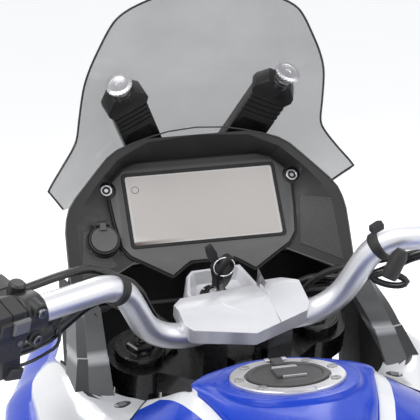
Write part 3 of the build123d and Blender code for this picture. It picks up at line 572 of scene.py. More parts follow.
def bead_tree():
    t = Growing("bead_along_line", (("Radius", "Float"), ("Spacing", "Float")))
    line = t.new("GeometryNodeMeshToCurve", {"Mesh": t.given["Geometry"]})
    even = t.new("GeometryNodeResampleCurve", {"Curve": line.outputs[0]})
    even.mode = "LENGTH"
    t.feed(even, {"Length": t.given["Spacing"]})
    profile = t.new("GeometryNodeCurvePrimitiveCircle", {"Radius": t.given["Radius"]})
    profile.inputs["Resolution"].default_value = 10
    wall = t.new("GeometryNodeCurveToMesh", {"Curve": even.outputs[0], "Profile Curve": profile.outputs[0]})
    wall.inputs["Fill Caps"].default_value = True
    return t.end(wall.outputs[0])


def set_inputs(modifier, values):
    for item in modifier.node_group.interface.items_tree:
        if item.item_type == "SOCKET" and item.in_out == "INPUT" and item.name in values:
            modifier[item.identifier] = values[item.name]


REPEAT, BEAD = repeat_tree(), bead_tree()


def grown(base, tree, values):
    """The plain mesh that a node tree makes from a base object, which is then dropped."""
    scene.collection.objects.link(base)
    modifier = base.modifiers.new("grow", "NODES")
    modifier.node_group = tree
    set_inputs(modifier, values)
    evaluated = base.evaluated_get(bpy.context.evaluated_depsgraph_get())
    mesh = bpy.data.meshes.new_from_object(evaluated)
    base.modifiers.remove(modifier)
    bpy.data.objects.remove(base)
    return mesh


def repeated(name, build, places, material, body, size=1.0, smooth=35):
    """One small form, drawn in millimetres, at each of the places."""
    shape = form()
    build(shape, WORLD)
    bmesh.ops.recalc_face_normals(shape, faces=shape.faces)
    source_mesh = bpy.data.meshes.new(name + "_form")
    shape.to_mesh(source_mesh)
    shape.free()
    source = bpy.data.objects.new(name + "_form", source_mesh)
    base_mesh = bpy.data.meshes.new(name + "_places")
    base_mesh.from_pydata([tuple(m.translation) for m in places], [], [])
    turn = base_mesh.attributes.new("turn", "FLOAT_VECTOR", "POINT")
    for i, m in enumerate(places):
        turn.data[i].vector = m.to_euler()
    mesh = grown(bpy.data.objects.new(name + "_places", base_mesh), REPEAT,
                 {"Form": source, "Size": size, "Finish": material})
    bpy.data.objects.remove(source)
    return settle(name, mesh, material, body, smooth)


def bead(name, lines, radius, material, body, spacing=0.004, closed=False):
    """Round beads along lines of points."""
    points, edges = [], []
    for line in lines:
        first = len(points)
        points += [tuple(p) for p in line]
        edges += [(i, i + 1) for i in range(first, len(points) - 1)]
        if closed:
            edges.append((len(points) - 1, first))
    mesh = bpy.data.meshes.new(name + "_line")
    mesh.from_pydata(points, edges, [])
    made = grown(bpy.data.objects.new(name + "_line", mesh), BEAD,
                 {"Radius": radius, "Spacing": spacing, "Finish": material})
    return settle(name, made, material, body, 60)


def tree_of_faces(mesh):
    return BVHTree.FromPolygons([v.co.copy() for v in mesh.vertices], [list(p.vertices) for p in mesh.polygons])


def drop(faces, point):
    """Where a line down from a point in millimetres meets a surface, as a frame that stands on it."""
    hit, normal, index, distance = faces.ray_cast(Vector(point) * MM, Vector((0, 0, -1)))
    return plane(hit / MM, -normal if normal.z < 0 else normal)


def mirrored(points):
    """A right half outline, top first, closed with its mirror image."""
    return list(points) + [(-x, y) for x, y in reversed(points) if x > 0]


def smooth_line(points, steps=6, closed=False):
    """Points along a soft line through the given ones."""
    count = len(points)
    line = []
    for i in range(count if closed else count - 1):
        a = Vector(points[(i - 1) % count] if closed or i > 0 else points[i])
        b, c = Vector(points[i]), Vector(points[(i + 1) % count])
        d = Vector(points[(i + 2) % count] if closed or i + 2 < count else points[i + 1])
        for s in range(steps):
            t = s / steps
            line.append(0.5 * ((2 * b) + (c - a) * t + (2 * a - 5 * b + 4 * c - d) * t * t
                               + (3 * b - a - 3 * c + d) * t * t * t))
    if not closed:
        line.append(Vector(points[-1]))
    return line


def inset(points, amount):
    """A closed clockwise outline moved inwards, corner for corner."""
    moved = []
    for i, point in enumerate(points):
        here = Vector(point)
        before = here - Vector(points[i - 1])
        after = Vector(points[(i + 1) % len(points)]) - here
        first = Vector((before.y, -before.x)).normalized()
        second = Vector((after.y, -after.x)).normalized()
        inward = (first + second).normalized()
        moved.append(tuple(here + inward * (amount / inward.dot(first))))
    return moved


def prism(matrix, points, low, high):
    shape = form()
    skin(shape, [outline_ring(matrix, points, low), outline_ring(matrix, points, high)])
    bmesh.ops.recalc_face_normals(shape, faces=shape.faces)
    return shape


def held(shape):
    """A passing object for a form, so that modifiers can work on it."""
    mesh = bpy.data.meshes.new("passing")
    bmesh.ops.recalc_face_normals(shape, faces=shape.faces)
    shape.to_mesh(mesh)
    shape.free()
    thing = bpy.data.objects.new("passing", mesh)
    scene.collection.objects.link(thing)
    return thing


def carve(shape, cutters, operation="DIFFERENCE", soft=0.0):
    """A closed form cut by others; its sharp edges can be rounded afterwards."""
    base = held(shape)
    tools = [held(cutter) for cutter in cutters]
    for tool in tools:
        cut = base.modifiers.new("cut", "BOOLEAN")
        cut.operation = operation
        cut.solver = "EXACT"
        cut.object = tool
    if soft:
        rounding = base.modifiers.new("rounding", "BEVEL")
        rounding.width = soft
        rounding.segments = 2
        rounding.limit_method = "ANGLE"
        rounding.angle_limit = math.radians(20)
        rounding.use_clamp_overlap = True
    evaluated = base.evaluated_get(bpy.context.evaluated_depsgraph_get())
    mesh = bpy.data.meshes.new_from_object(evaluated)
    result = form()
    result.from_mesh(mesh)
    for thing in tools + [base]:
        bpy.data.objects.remove(thing)
    return result


def cut_by(shape, point, normal):
    """Keeps what lies behind a plane, given in millimetres, and closes the cut."""
    geometry = shape.verts[:] + shape.edges[:] + shape.faces[:]
    bmesh.ops.bisect_plane(shape, geom=geometry, plane_co=Vector(point) * MM, plane_no=Vector(normal),
                           clear_outer=True)
    bmesh.ops.holes_fill(shape, edges=[e for e in shape.edges if e.is_boundary], sides=0)
    return shape


def join(shape, other):
    """Adds one form to another as it is."""
    mesh = bpy.data.meshes.new("passing")
    other.to_mesh(mesh)
    other.free()
    shape.from_mesh(mesh)
    bpy.data.meshes.remove(mesh)
    return shape


def soft_rows(rows, steps):
    """Rows of points with more rows between, along soft lines from row to row."""
    rails = [smooth_line([row[i] for row in rows], steps) for i in range(len(rows[0]))]
    return [[rail[k] for rail in rails] for k in range(len(rails[0]))]


def scaled(rows):
    return [[Vector(p) * MM for p in row] for row in rows]


def rounded(points, radius=None, steps=9):
    """A line with rounded corners, and the rounded corners by themselves."""
    line, bends = [points[0]], []
    for before, corner, after in zip(points, points[1:], points[2:]):
        back, ahead = (before - corner), (after - corner)
        turn = math.pi - back.angle(ahead)
        tangent = 0.45 * min(back.length, ahead.length)
        if radius:
            tangent = radius * math.tan(turn / 2)
        start, end = corner + back.normalized() * tangent, corner + ahead.normalized() * tangent
        real = tangent / math.tan(turn / 2)
        centre = corner + (back.normalized() + ahead.normalized()).normalized() * math.hypot(real, tangent)
        first, second = (start - centre).normalized(), (end - centre).normalized()
        bend = [centre + first.slerp(second, s / steps) * real for s in range(steps + 1)]
        bends.append(bend)
        line += bend
    return line + [points[-1]], bends


def sleeve(shape, line, radius, count=20, swell=()):
    """A round skin along a line; swell rows are a share of the length and the radius there."""
    rings, side = [], None
    for i, point in enumerate(line):
        ahead = (line[min(i + 1, len(line) - 1)] - line[max(i - 1, 0)]).normalized()
        side = (side if side else ahead.orthogonal())
        side = (side - ahead * side.dot(ahead)).normalized()
        other = ahead.cross(side)
        reach = radius
        for (s0, r0), (s1, r1) in zip(swell, swell[1:]):
            share = i / (len(line) - 1)
            if s0 <= share <= s1:
                reach = r0 + (r1 - r0) * (share - s0) / max(s1 - s0, 1e-6)
        rings.append([point + (side * math.cos(a) + other * math.sin(a)) * reach
                      for a in (2 * math.pi * k / count for k in range(count))])
    skin(shape, rings)


ACROSS = STEER @ Matrix(((0, 0, 1, 0), (1, 0, 0, 0), (0, 1, 0, 0), (0, 0, 0, 1)))

# Clamp cover: a faceted shell over the risers, with a sunk pocket behind the raised block
COVER = mirrored([(0, 40), (34, 40), (60, 38), (73, 22), (73, -16), (66, -27), (0, -47)])
RIDGE = ((-50, 77), (6, 81.5), (44, 66))
BLOCK = ((-50, 77), (18, 83), (46, 70))
POCKET = ((-26, 40), (-22, 4), (2, -19), (8, -19), (31, 3), (31, 40))
POCKET_FLOOR = ((-25, 69.5), (4, 75.5), (46, 61))


def above(profile):
    return list(profile) + [(profile[-1][0] + 40, 122), (profile[0][0] - 40, 122)]


pocket = carve(prism(STEER, POCKET, 62, 92), [prism(ACROSS, above(POCKET_FLOOR), -80, 80)], "INTERSECT")
hollow = carve(prism(STEER, inset(COVER, 3), 60, 92),
               [prism(ACROSS, ((-60, 50), (-60, 66), (0, 66), (30, 58), (30, 50)), -80, 80)], "INTERSECT")
cover = carve(prism(STEER, COVER, 60, 92),
              [prism(ACROSS, above(RIDGE), -80, 31), prism(ACROSS, above(BLOCK), 31, 80), pocket], soft=0.0015)
cover = carve(cover, [hollow])
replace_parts(finished("clamp_cover_shell", cover, M["cover"], "steering", 50), "clamp_cover")

# Ignition surround: a rim that slopes down to a sunk floor round the lock
SURROUND = [(-44, 44), (-44, 71), (-34, 101), (-25, 110), (38, 107), (48, 62), (47, 46)]
surround = form()
skin(surround, [outline_ring(STEER, SURROUND, 0), outline_ring(STEER, inset(SURROUND, 2.6), 42.5),
                outline_ring(STEER, inset(SURROUND, 4.2), 45), outline_ring(STEER, inset(SURROUND, 7.5), 45),
                outline_ring(STEER, inset(SURROUND, 14), 31)])
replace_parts(finished("ignition_surround_shell", surround, M["cover"], "steering", 30),
            "ignition_surround")

# Lock: a ringed barrel with a bright keyway, the key and its spare on a wire ring
LOCK = shift(STEER, -7, 70, 31)
lock = form()
turned(lock, shift(LOCK, z=-60), ((16, 0), (16, 28), (13, 29), (13, 62), (16.5, 62), (17, 64.5), (15.5, 67),
                                  (12.6, 67), (12, 65.4), (10.6, 65.4), (10.2, 68.5), (7.4, 69.5), (7, 68.4)), 40)
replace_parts(finished("lock_barrel", lock, M["arm"], "steering"), "ignition_lock")
lock_rim = form()
turned(lock_rim, shift(LOCK, z=7.2), ((6.2, 0), (6.2, 2.2), (5.4, 2.6), (3.4, 2.6), (3.2, 1.8)), 32)
for angle in range(0, 360, 45):
    tick = shift(shift(LOCK, z=6.4, turn=(0, 0, angle)), 14)
    block(lock_rim, tick, ((-1.5, -0.6), (1.5, -0.6), (1.5, 0.6), (-1.5, 0.6)), 0, 0.9, 0.2)
finished("lock_rim", lock_rim, M["chrome"], "steering")
KEY = shift(LOCK, 5, 1, 11, (0, 14, 24)) @ Matrix(((1, 0, 0, 0), (0, 0, -1, 0), (0, 1, 0, 0), (0, 0, 0, 1)))
HEAD_LINE = smooth_line([(-5, 2), (-10, 8), (-12.5, 18), (-13, 32), (-9, 42), (0, 46), (9, 42), (13, 32),
                         (12.5, 18), (10, 8), (5, 2)], 3)
key = form()
points = [(p.x, p.y) for p in HEAD_LINE]
small = [(x * 0.9, 25 + (y - 25) * 0.92) for x, y in points]
skin(key, [outline_ring(KEY, small, -5), outline_ring(KEY, points, -3.8), outline_ring(KEY, points, 3.8),
           outline_ring(KEY, small, 5)])
for side in (-1, 1):
    block(key, shift(KEY, z=0, turn=(0, 0 if side > 0 else 180, 0)),
          ((-6, 16), (6, 16), (7.5, 30), (0, 36), (-7.5, 30)), 4.5, 6, 0.8)
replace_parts(finished("key_head", key, M["arm"], "steering", 45), "ignition_key")
blade = form()
block(blade, KEY, ((-2.6, -4), (2.6, -4), (2.6, 8), (-2.6, 8)), -1.1, 1.1, 0.3)
SPARE = shift(LOCK, 5, -5, 20, (62, 14, 36))
block(blade, SPARE, ((-3, -22), (-1, -25), (2.6, -24), (3, -6), (3, 4), (-3, 4), (-2.2, -6), (-3, -9), (-2.1, -13),
                     (-3, -17)), -1, 1, 0.25)
finished("key_blades", blade, M["steel"], "steering")
spare = form()
block(spare, SPARE, ((-4, 3), (4, 3), (9, 12), (8, 27), (0, 31), (-8, 27), (-9, 12)), -3, 3, 1)
block(spare, shift(LOCK, -2, 4, 54, (84, -20, 10)),
      ((-4, -3), (4, -3), (6, 8), (4, 22), (-4, 22), (-6, 8)), -2, 2, 0.8)
finished("spare_key_head", spare, M["arm"], "steering")
RING = shift(LOCK, 9, -1, 45, (70, 14, 0))
bead("key_ring", [[RING @ Vector((13 * math.cos(a), 11 * math.sin(a), 0)) for a in
                   (2 * math.pi * k / 40 for k in range(40))]], 0.0008, M["chrome"], "steering",
     0.002, True)

# Screen arms: grooved black arms with flared, serrated knobs
ARM = ((-22, -52), (22, -52), (22, 86), (26, 93), (25, 101), (14, 115), (-14, 115), (-25, 101), (-26, 93), (-22, 86))
ARM_X = 61
ARM_DROP = SCREEN_BOW - math.sqrt(SCREEN_BOW ** 2 - ARM_X ** 2)
KNOB_TEETH = 96
for side, name in SIDES:
    lean = -side * math.degrees(math.asin(ARM_X / SCREEN_BOW))
    foot = shift(SCREEN, side * ARM_X, 70, ARM_DROP + SCREEN_SHEET, (0, lean, 0))
    arm_at = shift(foot, turn=(0, 0, -side * 20))
    arm = prism(arm_at, ARM[::-1], 1.2, 24)
    grooves = []
    for y in (58, 66, 74, 82):
        grooves.append(prism(arm_at, ((-30, y), (-30, y + 2.4), (30, y + 2.4), (30, y)), 21.6, 30))
    grooves.append(prism(arm_at, ((-15, -30), (-15, 48), (15, 48), (15, -30)), 22, 30))
    arm = carve(arm, grooves, soft=0.0014)
    turned(arm, shift(arm_at, 0, 113, 21.5, (-90, 0, 0)), ((10, 0), (10, 6), (9, 7), (9, 10)), 32)
    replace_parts(finished("screen_arm_%s_shell" % name, arm, M["arm"], "chassis", 30),
                "screen_arm_" + name)
    knob = form()
    knob_at = shift(arm_at, 0, 123.15, 21.5, (-90, 0, 0))
    rows = ((9, 0), (9, 1), (12.2, 5.5), (15.4, 10.6), (15.8, 12), (15.2, 13.4), (11.4, 14.4), (10.6, 13.6),
            (4, 13.2), (3.4, 12.2))
    rings = []
    for radius, height in rows:
        dent = 0.95 if 1 < height < 14 else 1
        rings.append(outline_ring(knob_at, [(x * (dent if k % 4 > 1 else 1), y * (dent if k % 4 > 1 else 1))
                                            for k, (x, y) in enumerate(circle(radius, KNOB_TEETH))], height))
    skin(knob, rings)
    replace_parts(finished("screen_knob_%s_turned" % name, knob, M["silver"], "chassis", 40),
                "screen_knob_" + name)

# Pillars: faceted columns beside the dash, the lower part standing proud as a small ledge
PILLAR_LOW = (
    (62, (155.4, 448), (181.8, 460), (206.6, 452)),
    (86, (154.2, 476), (179.6, 484), (199.6, 480)),
    (105, (153.4, 497.4), (177.9, 501), (194.3, 500.7)),
    (132, (152.2, 527), (174.8, 527), (185.9, 531.5)),
)
PILLAR_HIGH = (
    (130, (152.3, 525), (174.9, 524), (186.2, 530)),
    (150, (149.3, 563.5), (171.7, 552.6), (181.6, 559)),
    (170, (144.7, 616.6), (168.2, 581), (174.8, 604)),
    (190, (140, 670), (164.6, 610), (167.5, 653)),
)


def column(side, table, proud, steps):
    rows = []
    for z, inner, facet, corner in table:
        outline = (inner, facet, corner, (corner[0] + 5, corner[1] + 45), (inner[0] + 1, inner[1] + 45))
        rows.append([(side * x, y - proud, z) for x, y in outline])
    shape = form()
    skin(shape, soft_rows(scaled(rows), steps))
    return shape


for side, name in SIDES:
    column_form = column(side, PILLAR_LOW, 4.5, 1)
    high = cut_by(column(side, PILLAR_HIGH, 0, 4), (side * 158, 600, 173), (-side * 0.5, 0, 0.866))
    high = cut_by(high, Vector(RIM_AT) + RIM_OUT * 0.3, -RIM_OUT)
    join(column_form, high)
    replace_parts(finished("pillar_%s_faceted" % name, column_form, M["pillar"], "chassis", 20),
                "pillar_" + name)

# Side cowls and shrouds: half profiles by y, cut at the tank and at the seam between the two
COWL = (
    (300, (127, 116), (150, 106), (178, 92), (198, 68), (206, 18)),
    (398, (127, 112), (150, 100), (178, 92), (206, 72), (222, 36)),
    (450, (132, 103), (152, 98.5), (182, 96), (216, 84), (235, 48)),
    (492, (150, 99), (170, 100), (194, 104), (224, 88), (239, 52)),
    (545, (172, 106), (186, 110), (204, 110), (228, 90), (240, 54)),
    (600, (186, 104), (194, 108), (208, 107), (229, 88), (238, 58)),
    (655, (180, 90), (192, 98), (206, 96), (222, 80), (230, 60)),
)
SHROUD = (
    (300, (201, 26), (208, 20), (210, 5), (206, -40), (190, -100)),
    (398, (213, 46), (232, 36), (240, 10), (230, -40), (206, -110)),
    (500, (229, 67), (256, 55), (268, 26), (254, -50), (224, -150)),
    (600, (224, 87), (250, 72), (264, 44), (250, -50), (212, -156)),
    (655, (200, 98), (232, 80), (250, 46), (240, -50), (204, -140)),
    (740, (176, 114), (206, 96), (222, 60), (206, -50), (172, -110)),
)


def panel(side, table, wall=4):
    rows = []
    for y, *outer in table:
        line = smooth_line([(x, 0, z) for x, z in outer], 3)
        back = [(p.x - wall * 0.7, 0, p.z - wall * 0.8) for p in reversed(line)]
        rows.append([(side * p[0], y, p[2]) for p in [tuple(q) for q in line] + back])
    shape = form()
    skin(shape, soft_rows(scaled(rows), 5))
    return shape


cowl_skins = {}
for side, name in SIDES:
    for kind, table, lean, paint in (("side_cowl_", COWL, -1, "white"), ("shroud_", SHROUD, 1, "blue")):
        shape = cut_by(panel(side, table), (side * 125, 441, 0), (-side * 0.845, -0.534, 0))
        shape = cut_by(shape, (0, 540, 72), (0, -0.196 * lean, 0.981 * lean))
        piece = finished(kind + name + "_skin", shape, M[paint], "chassis", 40)
        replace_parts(piece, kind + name)
        cowl_skins.setdefault(side, piece)

# Fuel tank: wings and bands either side of a raised middle, notched ahead of it, with a round seat
# Rows are y, then x and z of the band's two edges, the wing and the widest line, and x of the foot
TANK = (
    (95, (44, 87), (60, 85), (84, 70), (104, 40), 96),
    (180, (54, 97), (72, 101), (122, 84), (152, 44), 128),
    (240, (66, 112), (84, 116.6), (138, 96), (174, 48), 150),
    (280, (78.5, 126.8), (95.9, 125.6), (146, 100), (188, 50), 160),
    (320, (88, 135.5), (105.1, 128.9), (150, 104), (194, 52), 168),
    (360, (97, 137), (112, 126), (152, 103), (190, 54), 164),
    (400, (112, 120), (120, 116), (151, 98.5), (184, 56), 158),
    (444, (126, 104), (129, 103), (148, 96), (176, 54), 150),
)
# The raised middle: y, half width, top z, edge z
SPINE = ((100, 46, 104, 90), (180, 54, 124, 101), (240, 66, 139, 116), (280, 78.5, 144.5, 130.5), (320, 88, 147, 139),
         (352, 95, 147, 142), (384, 76, 146.5, 141), (408, 40, 145, 141))
rows = []
for y, band_in, band_out, wing, wide, foot in TANK:
    half = [band_in, band_out, wing, wide, (foot, -96)]
    whole = half + [(-x, z) for x, z in reversed(half)]
    rows.append([(x, y, z) for x, z in whole])
wings = form()
skin(wings, soft_rows(scaled(rows), 5))
NOTCH = ((-97, 350.5), (97, 350.5), (126.7, 438.2), (130, 470), (-130, 470), (-126.7, 438.2))
tunnel = prism(WORLD, ((-46, 80), (46, 80), (46, 480), (-46, 480)), -110, 36)
wings = carve(wings, [prism(WORLD, NOTCH, -97, 203), tunnel], soft=0.0012)
for side in (-1, 1):
    wings = cut_by(wings, (side * 123.7, 440.2, 0), (side * 0.845, 0.534, 0))
rows = []
for y, half, top, edge in SPINE:
    bulge = [(-half * math.cos(a), edge + (top - edge) * math.sin(a)) for a in
             (math.pi * k / 14 for k in range(15))]
    rows.append([(x, y, z) for x, z in bulge + [(half, 60), (-half, 60)]])
middle = form()
skin(middle, soft_rows(scaled(rows), 5))
middle = carve(middle, [prism(FILLER, circle(71, 48), -4, 20), prism(FILLER, circle(38.3, 40), -44, 20)])
turned(middle, FILLER, ((40, -10), (76, -12), (74.6, -6.4), (72.6, -4.4), (70.4, -4), (40, -4)), 64)
join(wings, middle)
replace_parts(finished("fuel_tank_skin", wings, M["tank"], "chassis", 32), "fuel_tank")

# Filler: bolted ring, flip lid with a raised flap
filler = form()
turned(filler, FILLER, ((38, -44), (38, -4), (59, -4), (59, -0.9), (58.2, 0), (44.3, 0), (43.5, -0.8), (43.5, -3),
                        (36, -3), (36, -44)), 72)
notch = prism(shift(FILLER, turn=(0, 0, -2)), ((-17, -62), (17, -62), (17, -46), (-17, -46)), -1.4, 4)
filler = carve(filler, [notch])
for x in (-9, 9):
    block(filler, shift(FILLER, x, 49), ((-2.5, -3.5), (2.5, -3.5), (2.5, 3.5), (-2.5, 3.5)), -1, 3.4, 0.8)
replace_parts(finished("filler_ring_turned", filler, M["silver"], "chassis", 30), "filler_ring")


def ring_bolt(shape, matrix):
    turned(shape, matrix, ((5.2, -0.4), (5.2, 1.1), (4.5, 1.7), (2.3, 1.7), (2.1, 0.6)), 24)


RING_BOLT_RADIUS = 51.2
places = []
for a in map(math.radians, (13, 53, 91, 135, 184, 226, 326)):
    places.append(shift(WORLD, RING_BOLT_RADIUS * math.cos(a), 330 + RING_BOLT_RADIUS * math.sin(a), 150))
repeated("filler_bolts", ring_bolt, places, M["bright_steel"], "chassis")
lid = form()
turned(lid, FILLER, ((30, -16), (30, -3), (42.2, -2.7), (42.4, 0.6), (41.4, 1.4), (36.5, 1.6), (35.5, 0.4)), 64)
block(lid, FILLER, ((-14, -12), (16, -12), (15, 19), (-13, 19)), 0, 3.4, 1.4)
block(lid, FILLER, ((-6, 28), (6, 28), (6, 52), (-6, 52)), 0.2, 3.2, 0.8)
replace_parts(finished("filler_lid_shell", lid, M["lid"], "filler_lid_body", 28), "filler_lid")
edges = form()
block(edges, FILLER, ((-13, 13.5), (14, 13.5), (13, 18.6), (-12, 18.6)), 2.6, 4.4, 0.8)
block(edges, FILLER, ((-8, -13.4), (17, -13.4), (17, -11.2), (-8, -11.2)), 0.6, 3.2, 0.5)
finished("lid_flap_edges", edges, M["silver"], "filler_lid_body")

# Handlebar: its bent line gives the places of the straps
def bar_local(side, along):
    point = BAR_SHOULDER + BAR_DIRECTION * along
    return STEER @ Vector((side * point.x, point.y, point.z))


BAR_ARM = 298
corners = [bar_local(-1, BAR_ARM), bar_local(-1, 0), STEER @ Vector((-105, -8, 56)), STEER @ Vector((105, -8, 56)),
           bar_local(1, 0), bar_local(1, BAR_ARM)]
bar_bends = rounded(corners, 0.060, 60)[1]
straps = form()
for bend, start, end in ((bar_bends[0], 25, 37), (bar_bends[3], 20, 32)):
    sleeve(straps, bend[start:end], 0.0168, 28, ((0, 0.0158), (0.12, 0.0171), (0.88, 0.0171), (1, 0.0158)))
knot = plane((127, 424, 273), (-0.2, -0.6, 0.8))
block(straps, shift(knot, turn=(0, 0, 20)), ((-7, -4), (7, -4), (8, 2), (4, 5), (-7, 4)), -7, 2, 1.2)
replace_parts(finished("bar_straps_moulded", straps, M["rubber"], "steering"), "bar_straps")


def rearward(side, along, up, reach):
    """A frame beside the bar that looks rearwards; its x is up."""
    return shift(bar_at(side, along), up, side * reach, 0, (-90 * side, 0, 0))


# Along the bar from its bend: clamp, switches, start of the grip
PLACES = {-1: (126, 162, 188), 1: (138, 174, 201)}
GRIP_END = 296
HOUSING = ((20, -18), (24, 6), (12, 24), (-26, 24), (-40, 8), (-34, -20), (-4, -26))
THUMB_HOUSING = ((-28, -20), (-28, 12), (-50, 12), (-58, 4), (-58, -20), (-50, -25))
LEVER = ((-14, 42), (8, 42), (34, 48), (90, 38), (166, 40), (174, 46), (168, 52), (90, 54), (36, 64), (0, 66),
         (-14, 60))
socket_bolts = []
for side, name in SIDES:
    front = -side
    perch_at, switch_at, grip_at = PLACES[side]
    perch = form()
    turned(perch, bar_at(side, perch_at - 13),
           ((14.6, 0), (20.4, 0), (22, 1.6), (22, 24.4), (20.4, 26), (14.6, 26)), 36)
    for up in (15, -17):
        turned(perch, rearward(side, perch_at, up, 6), ((8.6, 0), (8.6, 13.5), (7.4, 15), (3, 15)), 24)
        socket_bolts.append(rearward(side, perch_at, up, 20.6))
    arm_at = bar_at(side, perch_at - 16)
    block(perch, arm_at, [(x - 6, y * front) for x, y in ((-12, 14), (12, 14), (11, 44), (-11, 44))][::front],
          0, 28, 2)
    for up in (6, -14):
        block(perch, arm_at, [(x + up - 4, y * front) for x, y in ((-4, 40), (4, 40), (3.6, 62), (-3.6, 62))][::front],
              0, 28, 1)
    turned(perch, shift(bar_at(side, perch_at), 12, 20 * front, 0, (0, 90, 0)), ((9, 0), (9, 12), (7, 14), (3, 14)), 24)
    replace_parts(finished("perch_%s_clamp" % name, perch, M["control"], "steering"), "perch_" + name)

    switch = form()
    outline = [(x, y * front) for x, y in HOUSING][::front]
    base = bar_at(side, switch_at - 22)
    skin(switch, [outline_ring(base, [(x * size, y * size) for x, y in outline], z) for size, z in
                  ((0.9, 0), (1, 3), (1.03, 20), (0.97, 20.6), (0.97, 21.6), (1.03, 22.2), (1, 41), (0.9, 44))])
    if side < 0:
        thumb = prism(base, [(x, y * front) for x, y in THUMB_HOUSING], 2, 26)
        join(switch, carve(thumb, [], soft=0.002))
        block(switch, rearward(side, switch_at - 8, -46, 18), ((-10, -10), (2, -12), (6, 4), (-6, 10)), 0, 12, 2)
    for up, reach in ((8, 24), (-10, 24), (-26, 22)):
        block(switch, rearward(side, switch_at, up, reach - 4), ((-7, -16), (7, -16), (7, 16), (-7, 16)), 0, 5.5, 1.5)
    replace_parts(finished("switchgear_%s_housing" % name, switch, M["control"], "steering", 30),
                "switchgear_" + name)
    buttons = form()
    block(buttons, rearward(side, switch_at - 6, 9, 24), ((-7, -12), (8, -12), (8, 8), (-7, 8)), 0, 5, 1.6)
    turned(buttons, rearward(side, switch_at - 10, -11, 24), ((3.2, 0), (3.2, 2.8), (2.4, 3.4), (1, 3.4)), 20)
    finished("switch_buttons_" + name, buttons, M["button"], "steering")

    grip = form()
    rows = [(14.6, 0), (20, 0), (21, 1), (21, 5), (20, 6), (17.2, 7)]
    length = GRIP_END - grip_at
    for k in range(int((length - 16) / 5)):
        rows += [(17.2, 9 + 5 * k), (16.2, 9.6 + 5 * k), (16.2, 10.8 + 5 * k), (17.2, 11.4 + 5 * k)]
    rows += [(17.2, length - 2), (15.6, length), (14.6, length)]
    turned(grip, bar_at(side, grip_at), rows, 32)
    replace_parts(finished("grip_%s_ribbed" % name, grip, M["rubber"], "steering"), "grip_" + name)

    at = bar_at(side, perch_at)
    turn = at.to_3x3() @ Matrix(((0, 0, 1), (0, -1, 0), (1, 0, 0)))
    lever_at = shift(Matrix.Translation(at.translation) @ turn.to_4x4(), z=-6)
    outline = [(x, y * side) for x, y in LEVER]
    lever = carve(prism(lever_at, outline, -4, 4), [], soft=0.0022)
    turned(lever, shift(lever_at, -2, 52 * side, -6), ((5, 0), (5, 12), (4, 13), (2, 13)), 20)
    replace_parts(finished("lever_%s_rounded" % name, lever, M["steel"], "steering"), "lever_" + name)

reservoir = form()
pot_at = shift(bar_at(1, 138), 6, -44, 4, (0, 90, 0))


def soft_box(width, height, radius, steps=5):
    """A rectangle with rounded corners, anticlockwise."""
    points = []
    for cx, cy, start in ((1, 1, 0), (-1, 1, 90), (-1, -1, 180), (1, -1, 270)):
        for k in range(steps + 1):
            a = math.radians(start + 90 * k / steps)
            points.append((cx * (width / 2 - radius) + radius * math.cos(a),
                           cy * (height / 2 - radius) + radius * math.sin(a)))
    return points


skin(reservoir, [outline_ring(pot_at, soft_box(w, h, r), z) for w, h, r, z in
                 ((38, 26, 5, 0), (46, 34, 6, 3), (46, 34, 6, 23.4), (50, 38, 7, 24), (50, 38, 7, 27.6),
                  (46, 34, 6, 29), (38, 26, 5, 29), (36, 24, 4, 28.2))])
for x in (-18, 18):
    turned(reservoir, shift(pot_at, x, 0, 28.4), ((3.4, 0), (3.4, 1.2), (2.6, 1.8), (1.2, 1.8), (1, 1)), 18)
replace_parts(finished("brake_reservoir_pot", reservoir, M["control"], "steering"),
            "brake_reservoir")


def socket_bolt(shape, matrix):
    bolt(shape, matrix, 5.4, 4.2)


repeated("perch_bolts", socket_bolt, [m.normalized() for m in socket_bolts],
         M["steel"], "steering")


# Cables clipped along the bar down to the yoke, a glossy sleeve and a thin wire
def near_bar(side, along, up, ahead):
    return bar_at(side, along) @ Vector((up, -side * ahead, 0))


def steer_point(u, v, w):
    return STEER @ Vector((u, v, w))


RUNS = (
    ("clutch_cable", 0.0045, (near_bar(-1, 118, 9, 26), near_bar(-1, 62, 16, 22), near_bar(-1, 16, 6, 30),
                              steer_point(-112, 34, 104), steer_point(-92, 44, 50), steer_point(-66, 28, 2))),
    ("left_loom", 0.0066, ((-0.268, 0.424, 0.176), (-0.247, 0.432, 0.178),
                           (-0.2262, 0.440, 0.1832), (-0.2096, 0.450, 0.1929),
                           (-0.1828, 0.460, 0.2092), (-0.1596, 0.470, 0.2153),
                           steer_point(-136, 14, 96), steer_point(-100, 62, 44), steer_point(-62, 58, 4))),
    ("brake_hose", 0.0040, (near_bar(1, 128, -6, 28), near_bar(1, 70, -30, 16), near_bar(1, 14, -40, 16),
                            steer_point(112, 34, 76), steer_point(86, 44, 40), steer_point(66, 28, 2))),
    ("right_loom", 0.0050, (near_bar(1, 152, -26, 4), near_bar(1, 96, -30, 6), near_bar(1, 44, -30, 8),
                            steer_point(150, 14, 70), steer_point(96, 60, 50), steer_point(60, 58, 4))),
    ("thin_wire", 0.0018, (near_bar(-1, 70, -34, 6), (-0.2154, 0.430, 0.1772), (-0.2486, 0.420, 0.1643),
                           near_bar(-1, 148, -60, -4))),
)
for name, radius, points in RUNS:
    bead(name, [rounded([Vector(p) for p in points])[0]], radius, M["sleeve"], "steering", 0.004)
fittings = form()
boot = [Vector(p) for p in ((0.1590, 0.436, 0.2410), (0.1555, 0.437, 0.2340), (0.1445, 0.440, 0.2120),
                            (0.1435, 0.440, 0.2100))]
sleeve(fittings, boot, 0.009, 20, ((0, 0.006), (0.3, 0.0092), (0.9, 0.009), (1, 0.0075)))
sleeve(fittings, [near_bar(-1, 128, 9, 26), near_bar(-1, 112, 10, 25)], 0.0062, 16)
